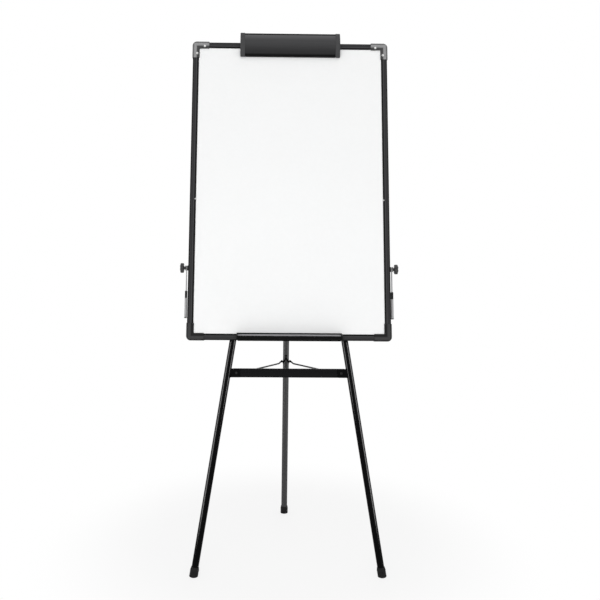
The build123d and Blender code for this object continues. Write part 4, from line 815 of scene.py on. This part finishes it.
def add_leg_end(shape, sizes, name, end, at):
    """Adds the ribbed foot of one leg, cut flat on the floor, and its plug to a shape in metres."""
    body = bmesh.new()
    add_lathe(body, foot_profile(), at=Matrix.Scale(1 / MM, 4))
    foot = new_object(name, to_mesh(name, body))
    run_tree(foot, "Ribbed foot", rib_tree, {
        "Rib Count": sizes.rib_count, "First Rib": 0.0055, "Pitch": 0.0038, "Body Radius": 0.0119,
        "Rib Radius": sizes.rib_radius / MM, "Material": finish_of("rubber")})
    foot.data.transform(at @ Matrix.Scale(MM, 4))
    for vertex in foot.data.vertices:
        vertex.co.z = max(vertex.co.z, 0.0)
    shape.from_mesh(foot.data)
    bpy.data.objects.remove(foot)
    add_lathe(shape, plug_profile(end), 48, at)


class EASEL_OT_leg_ends(bpy.types.Operator):
    """Ribbed rubber feet and the plugs of the tubes"""
    bl_idname = "easel.leg_ends"
    bl_label = "Feet and plugs"

    def execute(self, context):
        sizes = context.scene.easel_sizes
        front, rear = bmesh.new(), bmesh.new()
        for name, side in SIDES.items():
            add_leg_end(front, sizes, "foot_" + name, FRONT_LEG_LENGTH, front_leg_matrix(side))
        add_leg_end(rear, sizes, "foot_rear", REAR_TUBE_LENGTH, REAR_LEG)
        here = Matrix.Identity(4)
        make_piece("feet_front", front, "rubber", "front_leg_ends", here)
        make_piece("foot_rear_set", rear, "rubber", "rear_leg_ends", here)
        return {"FINISHED"}


class EASEL_OT_head(bpy.types.Operator):
    """Head plates, clevis and hinge pin at the top of the tripod"""
    bl_idname = "easel.head"
    bl_label = "Head"

    def execute(self, context):
        refine("head_front_plate", "black paint", 0.4)
        refine("head_clevis", "black paint", 0.4)
        refine("rear_hinge_pin", "bright steel", 0.25)
        refine("head_bolts", "bright steel", 0.25)
        return {"FINISHED"}


class EASEL_OT_crossbar(bpy.types.Operator):
    """Crossbar channel, its two brackets and the clips that hold the board"""
    bl_idname = "easel.crossbar"
    bl_label = "Crossbar"

    def execute(self, context):
        refine("crossbar", "crossbar paint", 0.3)
        for side in SIDES:
            refine("crossbar_bracket_" + side, "black paint", 0.8, 3)
            refine("board_clip_" + side, "black plastic", 0.5)
        return {"FINISHED"}


def rod_path(side):
    """Points of one spreader rod with the radius of each bend."""
    hinge = hinge_point()
    fold = LEAN + atan2(REAR_REACH - hinge.y, hinge.z)
    pin_v, pin_w = V_HEAD - SPREADER_DROP * cos(fold), W_HINGE - SPREADER_DROP * sin(fold)
    pivot = leg_u(CROSSBAR_V) - LEG_RADIUS - 22.0
    over, behind, beside = pin_v + ROD_HOLD, pin_w - ROD_HOLD, side * ROD_BESIDE
    return [((side * (pivot + 5.0), CROSSBAR_V, W_SPREADER), 0.0),
            ((side * (pivot - 9.0), CROSSBAR_V, W_SPREADER), 4.0),
            ((side * 24.0, over - 9.0, pin_w + 22.0), 10.0), ((beside, over, pin_w + 5.0), 6.0),
            ((beside, over, behind), 3.0), ((beside, over - 6.0, behind), 0.0)]


class EASEL_OT_spreader(bpy.types.Operator):
    """Bent spreader rods, the saddle they meet at and the pin they hook over"""
    bl_idname = "easel.spreader"
    bl_label = "Spreader"

    def execute(self, context):
        for name, side in SIDES.items():
            wire_piece("rod_" + name, [rod_path(side)], context.scene.easel_sizes.rod_radius, "dark steel",
                       "spreader_rod_" + name)
        self.saddle()
        bm = bmesh.new()
        turn = REAR_LEG @ Matrix.Translation((0, 0, PIN_UP)) @ Matrix.Rotation(pi / 2, 4, "Y")
        half = [(PIN_RADIUS, 16.2), (PIN_HEAD_RADIUS, 16.2), (PIN_HEAD_RADIUS, 16.9), (PIN_RADIUS, 17.2),
                (0.01, 17.2)]
        add_lathe(bm, [(radius, -height) for radius, height in reversed(half)] + half, 32)
        make_piece("rod_pin", bm, "dark steel", "rear_leg_rivets", turn, stands_for=False)
        for name, rise, finish, stands_for in (("upper", SADDLE_RIVET, "black paint", True),
                                               ("lower", -SADDLE_RIVET, "rear leg paint", False)):
            place = [((0, -(LEG_RADIUS + 1.55), SADDLE_MIDDLE + rise), (0, -1, 0))]
            screw_row("saddle_rivet_" + name, place, (3.1, 1.3, 1.5, 3.0, 0.5, 0.0), finish,
                      "rear_leg_rivets", 3, REAR_LEG, stands_for)
        return {"FINISHED"}

    def saddle(self):
        """Strap on the front of the rear leg with the chevron that the rods seem to meet at, darkened as
        painted shade.
        """
        near, far = LEG_RADIUS + 0.05, LEG_RADIUS + SADDLE_SKIN
        strap, chevron = [], []
        for k in range(9):
            x = 4.0 * sin(pi * (k - 4) / 8)
            rise = SADDLE_RIVET + sqrt(max(0.0, 16.0 - x * x))
            strap.append((x, SADDLE_MIDDLE - rise, SADDLE_MIDDLE + rise))
        for k in range(21):
            x = 11.2 * sin(pi * (k - 10) / 22)
            drop = abs(x) / 9.5 * 14.0
            chevron.append((x, SADDLE_MIDDLE + 6.0 - drop, SADDLE_MIDDLE + 15.0 - drop))
        bm = bmesh.new()
        add_wrap(bm, strap, near, far)
        add_wrap(bm, chevron, near, far + 0.15)
        # Points of the chevron get share 1 for its painted shade.
        make_piece("rear_leg_saddle", bm, "saddle paint", "spreader_saddle", REAR_LEG, 40.0,
                   [0.0] * 4 * len(strap) + [1.0] * 4 * len(chevron))


# Pad clamp

CLAMP_HALF = 307.0 / 2 - 14.0
CLAMP_LOW = V_TOP - 46.0
CLAMP_CROWN = V_TOP - 10.0
CLAMP_HIGH = V_TOP + 26.0
W_CLAMP_LOW = W_FRONT + 7.0
W_CLAMP_CROWN = W_FRONT + 19.0
W_CLAMP_HIGH = W_FRONT + 9.5
CLAMP_SKIN = 2.0
CLAMP_BEAD = 1.6
# Painted shade: within these distances of the cover's edges the face keeps share 0 and is darkened.
CLAMP_PAINTED_SHADE_LOW, CLAMP_PAINTED_SHADE_HIGH = 3.5, 5.0
BARREL_OUTER, BARREL_INNER = 5.05, 3.05
PAD_FRONT = W_SURFACE + 0.3 + 3.6
SPRING_PLACES = (-75.0, 75.0)
SPRING_WIRE = 0.8


def rolled_edge(w, v, start):
    """Half round bead of the cover's edge, from an angle in degrees."""
    return [(w - CLAMP_BEAD / 2 + CLAMP_BEAD * cos(a), v + CLAMP_BEAD * sin(a))
            for a in (radians(start + 25 * k) for k in range(7))]


def cover_section():
    """Closed section of the cover's skin with its rolled edges, and the share up its face, which places
    painted light growing up the face and painted shade on the rolled edges.
    """
    front = arc_points((W_CLAMP_LOW, CLAMP_LOW), (W_CLAMP_CROWN, CLAMP_CROWN), (W_CLAMP_HIGH, CLAMP_HIGH), 29)
    back = [(w - CLAMP_SKIN, v) for w, v in reversed(front)]
    low_bead = rolled_edge(W_CLAMP_LOW, CLAMP_LOW + CLAMP_BEAD, -150)
    high_bead = rolled_edge(W_CLAMP_HIGH, CLAMP_HIGH - CLAMP_BEAD, 10)
    section = low_bead + front[2:-2] + high_bead + back[2:-2]
    share = [(v - CLAMP_LOW) / (CLAMP_HIGH - CLAMP_LOW)
             if CLAMP_LOW + CLAMP_PAINTED_SHADE_LOW < v < CLAMP_HIGH - CLAMP_PAINTED_SHADE_HIGH else 0.0 for w, v in section]
    return section, share


class EASEL_OT_clamp(bpy.types.Operator):
    """Pad clamp: curved cover with rolled edges, caps, pad, base, axle and springs"""
    bl_idname = "easel.clamp"
    bl_label = "Pad clamp"

    def execute(self, context):
        bm = bmesh.new()
        section, share = cover_section()
        add_bar(bm, section, -CLAMP_HALF, CLAMP_HALF)
        lip = [(PAD_FRONT, CLAMP_LOW), (W_CLAMP_LOW, CLAMP_LOW), (W_CLAMP_LOW, CLAMP_LOW + CLAMP_BEAD),
               (PAD_FRONT + 1.8, CLAMP_LOW + CLAMP_BEAD), (PAD_FRONT + 1.8, CLAMP_LOW + 8.0),
               (PAD_FRONT, CLAMP_LOW + 8.0)]
        add_bar(bm, lip, -CLAMP_HALF, CLAMP_HALF)
        # The lip gets share 0 for painted shade; the barrels and webs get a middle share.
        shares = share * 2 + [0.0] * len(lip) * 2
        outer, inner = (circle(W_AXLE, V_AXLE, r) for r in (BARREL_OUTER, BARREL_INNER))
        web = [(W_AXLE + 4.6, V_AXLE - 1.0), (W_FRONT + 16.2, V_AXLE - 1.0), (W_FRONT + 15.4, V_AXLE + 1.0),
               (W_AXLE + 4.6, V_AXLE + 1.0)]
        for start, end in ((-CLAMP_HALF, -132.0), (-128.0, -82.0), (-68.0, -47.0), (-43.0, 43.0),
                           (47.0, 68.0), (82.0, 128.0), (132.0, CLAMP_HALF)):
            add_rings(bm, [[Vector((u, v, w)) for w, v in ring] for u, ring in
                           ((start, outer), (end, outer), (end, inner), (start, inner))], closed=True)
            add_bar(bm, web, start, end)
            shares += [0.2] * (4 * len(outer) + 2 * len(web))
        make_piece("clamp_shell", bm, "clamp paint", "clamp_cover", sharp=40.0, across=shares)
        for side in SIDES:
            refine("clamp_cap_" + side, "clamp cap", 0.8, 3)
        refine("clamp_pad", "rubber", 0.6)
        refine("clamp_base", "black paint", 0.3)
        bm = bmesh.new()
        end = CLAMP_HALF + 6.0
        add_lathe(bm, [(0.01, -end), (2.6, -end), (3.0, 0.4 - end), (3.0, end - 0.4), (2.6, end),
                       (0.01, end)], 32)
        turn = BOARD @ Matrix.Translation((0, V_AXLE, W_AXLE)) @ Matrix.Rotation(pi / 2, 4, "Y")
        make_piece("clamp_axle_rod", bm, "bright steel", "clamp_axle", turn)
        wire_piece("clamp_coils", [spring_path(place) for place in SPRING_PLACES], SPRING_WIRE,
                   "bright steel", "clamp_springs")
        return {"FINISHED"}


def spring_path(place):
    """Points of a torsion spring round the axle with its tail along the base."""
    turns, pitch, radius, steps = 2.25, 2.6, 5.15, 20
    points = []
    for index in range(int(turns * steps) + 1):
        angle = 2 * pi * index / steps
        u = place - turns * pitch / 2 + pitch * index / steps
        points.append(((u, V_AXLE - radius * sin(angle), W_AXLE + radius * cos(angle)), 0.0))
    u, v, w = points[-1][0]
    return points + [((u, v, W_MID_RAIL), 0.0)]


# Pen tray

TRAY_HALF = 151.0
TRAY_WALL = 1.7
TRAY_FLOOR = BOARD_LIFT + 2.4
TRAY_LIP = BOARD_LIFT + 13.1
TRAY_TOP = BOARD_LIFT + 22.0
TRAY_UNDER = BOARD_LIFT - 0.3
W_TRAY_BACK = W_FRONT + 0.3
W_TRAY_FRONT = W_FRONT + 40.3
W_TRAY_HOOK = W_SURFACE + 0.3


def tray_section():
    """Section of the tray as (w, v, light): light is 1 on the band of painted highlight on the inner face of
    its back wall.
    """
    back, front, wall = W_TRAY_BACK, W_TRAY_FRONT, TRAY_WALL
    floor, lip, top = TRAY_FLOOR, TRAY_LIP, TRAY_TOP
    inside, outside = back + wall, front - wall
    return [(W_TRAY_HOOK, top - 2.7, 0), (back, top - 2.7, 0), (back, TRAY_UNDER, 0),
            (W_MID_RAIL, TRAY_UNDER, 0), (W_MID_RAIL, TRAY_UNDER - 1.4, 0), (inside, TRAY_UNDER - 1.4, 0),
            (inside, floor, 0), (outside, floor, 0), (front - 0.5, floor + 0.5, 0), (front, floor + 1.7, 0),
            (front, lip - 0.4, 0), (front - 0.4, lip, 0), (outside + 0.4, lip, 0), (outside, lip - 0.4, 0),
            (outside, floor + 3.4, 0), (outside - 0.5, floor + 2.2, 0), (outside - 1.7, floor + wall, 0),
            (inside, floor + wall, 0), (inside, floor + wall + 0.4, 1), (inside, top - 4.4, 1),
            (inside, top - 4.0, 0), (inside, top - 0.4, 0), (inside - 0.4, top, 0),
            (W_TRAY_HOOK + 0.3, top, 0), (W_TRAY_HOOK, top - 0.3, 0)]


class EASEL_OT_tray(bpy.types.Operator):
    """Pen tray with its end caps"""
    bl_idname = "easel.tray"
    bl_label = "Pen tray"

    def execute(self, context):
        section = tray_section()
        bm = bmesh.new()
        add_bar(bm, [(w, v) for w, v, light in section], -TRAY_HALF, TRAY_HALF)
        # The light share places the painted highlight band on the back wall.
        make_piece("tray_trough", bm, "tray metal", "pen_tray", sharp=30.0,
                   across=[float(light) for w, v, light in section] * 2)
        for side in SIDES:
            refine("tray_cap_" + side, "black plastic", 0.7, 3)
        return {"FINISHED"}


# Side arms

KNOB_FACE = KNOB_START + 4.0
KNOB_END = KNOB_FACE + 10.7
KNOB_STEPS = 120
KNOB_LOBE = 3.9
KNOB_SOFT = 1.1


class EASEL_OT_arms(bpy.types.Operator):
    """Side arms: strap, guide, channel, tip and the studs they turn on"""
    bl_idname = "easel.arms"
    bl_label = "Side arms"

    def execute(self, context):
        for side in SIDES:
            refine("arm_strap_" + side, "arm metal", 0.3)
            refine("arm_channel_" + side, "arm metal", 0.15)
            refine("arm_guide_" + side, "black plastic", 0.4)
            refine("arm_tip_" + side, "black plastic", 0.4)
        refine("arm_spacers", "knob metal", 0.4)
        refine("arm_studs", "bright steel", 0.2)
        return {"FINISHED"}


def lobed_radius(angle, lobes, radius):
    """Reach of the knob's outline at an angle: round lobes with filled dips."""
    reach = radius - KNOB_LOBE
    phi = (angle + pi / lobes) % (2 * pi / lobes) - pi / lobes
    inside = reach * abs(sin(phi))
    if inside < KNOB_LOBE:
        outer = reach * cos(phi) + sqrt(KNOB_LOBE * KNOB_LOBE - inside * inside)
    else:
        outer = reach * 0.8
    high, low = max(outer, reach), min(outer, reach)
    return high + KNOB_SOFT * 0.25 * max(0.0, 1 - (high - low) / KNOB_SOFT) ** 2


class EASEL_OT_knobs(bpy.types.Operator):
    """Lobed hand knobs with a neck"""
    bl_idname = "easel.knobs"
    bl_label = "Knobs"

    def execute(self, context):
        sizes = context.scene.easel_sizes
        angles = [2 * pi * k / KNOB_STEPS for k in range(KNOB_STEPS)]
        outline = [lobed_radius(angle, sizes.knob_lobes, sizes.knob_radius) for angle in angles]
        neck = [(KNOB_START, 3.4), (KNOB_START, 4.3), (KNOB_START + 0.4, 4.6), (KNOB_FACE - 0.8, 4.6),
                (KNOB_FACE - 0.1, 5.4)]
        rim = [(0.0, 2.6), (0.35, 1.4), (1.1, 0.5), (2.4, 0.0), (8.2, 0.0), (9.4, 0.4), (10.2, 1.2),
               (10.6, 2.4)]
        dish = [(KNOB_END - 0.1, 5.6), (KNOB_END - 0.9, 5.2), (KNOB_END - 1.0, 0.8)]
        rings = [(u, [radius] * KNOB_STEPS) for u, radius in neck]
        rings += [(KNOB_FACE + rise, [radius - inset for radius in outline]) for rise, inset in rim]
        rings += [(KNOB_END, [0.7 * radius - 0.4 for radius in outline])]
        rings += [(u, [radius] * KNOB_STEPS) for u, radius in dish]
        for name, side in SIDES.items():
            bm = bmesh.new()
            add_rings(bm, [[Vector((side * u, V_KNOB + r * cos(angle), W_MID_RAIL + r * sin(angle)))
                            for angle, r in zip(angles, radii)] for u, radii in rings])
            make_piece("hand_knob_" + name, bm, "knob metal", "arm_knob_" + name, sharp=40.0)
        return {"FINISHED"}


# Screws

class EASEL_OT_screws(bpy.types.Operator):
    """Cross recessed screws of the rails, clips, clamp and crossbar"""
    bl_idname = "easel.screws"
    bl_label = "Screws"

    def execute(self, context):
        recess = context.scene.easel_sizes.recess_width
        sides = SIDES.values()
        front, back, up = (0, 0, 1), (0, 0, -1), (0, 1, 0)
        rail = [((side * 283.0, BOARD_LIFT + 420.0, W_BACK + 17.3), front) for side in sides]
        clamp = [((u, V_TOP + 2.1, W_MID_RAIL), up) for u in (-100.0, 0.0, 100.0)]
        crossbar = [((side * (leg_u(CROSSBAR_V) - 26.0), CROSSBAR_V, 8.05), front) for side in sides]
        head = [((u, V_TOP - 5.975, 10.55), back) for u in (-8.0, 8.0)]
        clips = [((side * leg_u(BOARD_LIFT + 15.0) + reach, BOARD_LIFT + 5.975, 10.05), back)
                 for side in sides for reach in (-18.5, 18.5)]
        rows = (("rail", rail, (2.4, 1.1, 1.2, 1.5, 0.55, 0.6), "bright steel"),
                ("clamp", clamp, (3.4, 1.8, 1.8, 6.0, recess, 0.9), "bright steel"),
                ("crossbar", crossbar, (3.6, 1.9, 2.4, 7.0, recess, 1.0), "blackened screws"),
                ("board", head + clips, (3.2, 1.8, 1.7, 6.0, recess, 0.9), "bright steel"))
        for seed, (name, places, sizes, finish) in enumerate(rows, 1):
            screw_row(name + "_screw_heads", places, sizes, finish, name + "_screws", seed)
        return {"FINISHED"}


# Stage

FLOOR_REACH = 12.0
FLOOR_FADE = (0.35, 0.8)
FLOOR_WHITE_NEAR = 0.8
ROOM_LIGHT = 0.54
STRIP_POWER = 300.0
CAMERA_PLACE = (-0.06807, -1.97083 + ORIGIN_SHIFT / MM, 0.97762)
CAMERA_YAW, CAMERA_PITCH, CAMERA_ROLL = radians(-0.7857), radians(1.105), radians(0.4572)
CAMERA_LENS = 42.0
CAMERA_SHIFT = (0.03958, -0.0905)


def mix_out(tree, kind, share, first, second):
    """Mixes two shader nodes by a share into an output node."""
    mix = add_node(tree, "ShaderNodeMixShader", {0: share, 1: first.outputs[0], 2: second.outputs[0]})
    add_node(tree, kind, {0: mix.outputs[0]})


def floor_material():
    """Pale floor that keeps a faint shadow near the feet and is white to the camera further out."""
    material, tree, place = start_material("Pale floor")
    noise = grain_noise(tree, place, (1, 1, 1), 3.0)
    tones = ramp(tree, noise, [(position, (level,) * 3) for position, level in zip(NOISE_SPAN, (0.91, 0.93))])
    plain = add_node(tree, "ShaderNodeBsdfPrincipled", {
        "Base Color": tones, "Roughness": 0.9, "Specular IOR Level": 0.1})
    reach = add_node(tree, "ShaderNodeVectorMath", {0: place}, operation="LENGTH")
    fade = add_node(tree, "ShaderNodeMapRange", {
        "Value": reach.outputs["Value"], "From Min": FLOOR_FADE[0], "From Max": FLOOR_FADE[1],
        "To Min": FLOOR_WHITE_NEAR}, interpolation_type="SMOOTHSTEP")
    seen = tree.nodes.new("ShaderNodeLightPath").outputs["Is Camera Ray"]
    white = tree.nodes.new("ShaderNodeEmission")
    mix_out(tree, "ShaderNodeOutputMaterial", calc(tree, "MULTIPLY", fade.outputs[0], seen), plain, white)
    return material


def white_room():
    """World that is white to the camera and in reflections, and a softer light to everything else."""
    world = bpy.data.worlds.new("White room")
    world.use_nodes = True
    tree = world.node_tree
    tree.nodes.clear()
    light, white = (add_node(tree, "ShaderNodeBackground", {"Color": (1.0, 1.0, 1.0, 1.0), "Strength": level})
                    for level in (ROOM_LIGHT, 1.0))
    rays = tree.nodes.new("ShaderNodeLightPath").outputs
    seen = rays["Is Camera Ray"]
    for ray in ("Is Glossy Ray", "Is Transmission Ray"):
        seen = calc(tree, "MAXIMUM", seen, rays[ray])
    mix_out(tree, "ShaderNodeOutputWorld", seen, light, white)
    return world


def add_light(name, place, aim, size, power, shine=True, fill=True, only=None):
    """Soft lamp that looks at a point. It can skip reflections or plain light, or light some pieces only."""
    data = bpy.data.lights.new(name, "AREA")
    data.shape = "RECTANGLE"
    data.size, data.size_y = size
    data.energy = power
    lamp = bpy.data.objects.new(name, data)
    lamp.location = place
    lamp.rotation_euler = (Vector(aim) - Vector(place)).to_track_quat("-Z", "Y").to_euler()
    lamp.visible_glossy = shine
    lamp.visible_diffuse = fill
    if only:
        lamp.light_linking.receiver_collection = only
    bpy.context.scene.collection.objects.link(lamp)


def add_camera():
    """Camera at the photograph's viewing angle."""
    data = bpy.data.cameras.new("photo_camera")
    data.sensor_width = 36.0
    data.lens = CAMERA_LENS
    data.shift_x, data.shift_y = CAMERA_SHIFT
    data.clip_start, data.clip_end = 0.05, 60.0
    camera = bpy.data.objects.new("photo_camera", data)
    turn = (Matrix.Rotation(CAMERA_YAW, 4, "Z") @ Matrix.Rotation(pi / 2 - CAMERA_PITCH, 4, "X")
            @ Matrix.Rotation(CAMERA_ROLL, 4, "Z"))
    camera.matrix_world = Matrix.Translation(CAMERA_PLACE) @ turn
    bpy.context.scene.collection.objects.link(camera)
    return camera


class EASEL_OT_stage(bpy.types.Operator):
    """Pale floor, soft lamps and the camera"""
    bl_idname = "easel.stage"
    bl_label = "Stage"

    def execute(self, context):
        scene, far = context.scene, FLOOR_REACH
        mesh = bpy.data.meshes.new("floor")
        mesh.from_pydata([(-far, -far, 0), (far, -far, 0), (far, far, 0), (-far, far, 0)], [], [(0, 1, 2, 3)])
        mesh.materials.append(floor_material())
        new_object("floor", mesh)
        scene.world = white_room()
        add_light("lamp_front", (-0.3, -3.6, 1.3), (0, 0, 1.0), (3.2, 2.4), 60.0, shine=False)
        add_light("lamp_top", (0.3, -0.6, 3.6), (0, 0, 0.5), (2.6, 2.6), 7.0)
        add_light("lamp_back", (0.4, 3.4, 2.0), (0, 0, 1.0), (2.4, 2.4), 18.0)
        tubes = bpy.data.collections.new("striped tubes")
        for name in ("leg_tube_left", "leg_tube_right", "leg_tube_rear"):
            tubes.objects.link(bpy.data.objects[name])
        for side in SIDES.values():
            add_light("lamp_strip", (side * 2.2, -1.1, 1.0), (0, -0.1, 0.95), (1.3, 2.2), STRIP_POWER,
                      fill=False, only=tubes)
        scene.view_settings.view_transform = "Standard"
        scene.camera = add_camera()
        return {"FINISHED"}


OPERATORS = (
    EASEL_OT_rails, EASEL_OT_covers, EASEL_OT_board, EASEL_OT_legs, EASEL_OT_leg_ends, EASEL_OT_head,
    EASEL_OT_crossbar, EASEL_OT_spreader, EASEL_OT_clamp, EASEL_OT_tray, EASEL_OT_arms, EASEL_OT_knobs,
    EASEL_OT_screws, EASEL_OT_stage)


class EASEL_PT_pieces(bpy.types.Panel):
    """Buttons for the easel's pieces"""
    bl_idname = "EASEL_PT_pieces"
    bl_label = "Whiteboard easel"
    bl_space_type = "VIEW_3D"
    bl_region_type = "UI"
    bl_category = "Easel"

    def draw(self, context):
        for operator in OPERATORS:
            self.layout.operator(operator.bl_idname)
        for group in (context.scene.easel_sizes, context.scene.easel_finish):
            for name in group.__annotations__:
                self.layout.prop(group, name)


CLASSES = (EaselSizes, EaselFinish) + OPERATORS + (EASEL_PT_pieces,)


def register():
    """Adds the classes and the easel's settings."""
    for item in CLASSES:
        bpy.utils.register_class(item)
    bpy.types.Scene.easel_sizes = PointerProperty(type=EaselSizes)
    bpy.types.Scene.easel_finish = PointerProperty(type=EaselFinish)


def unregister():
    """Takes them away again."""
    del bpy.types.Scene.easel_finish
    del bpy.types.Scene.easel_sizes
    for item in reversed(CLASSES):
        bpy.utils.unregister_class(item)


def main():
    """Builds every piece in order."""
    register()
    for operator in OPERATORS:
        group, name = operator.bl_idname.split(".")
        getattr(getattr(bpy.ops, group), name)()


if __name__ == "__main__":
    main()
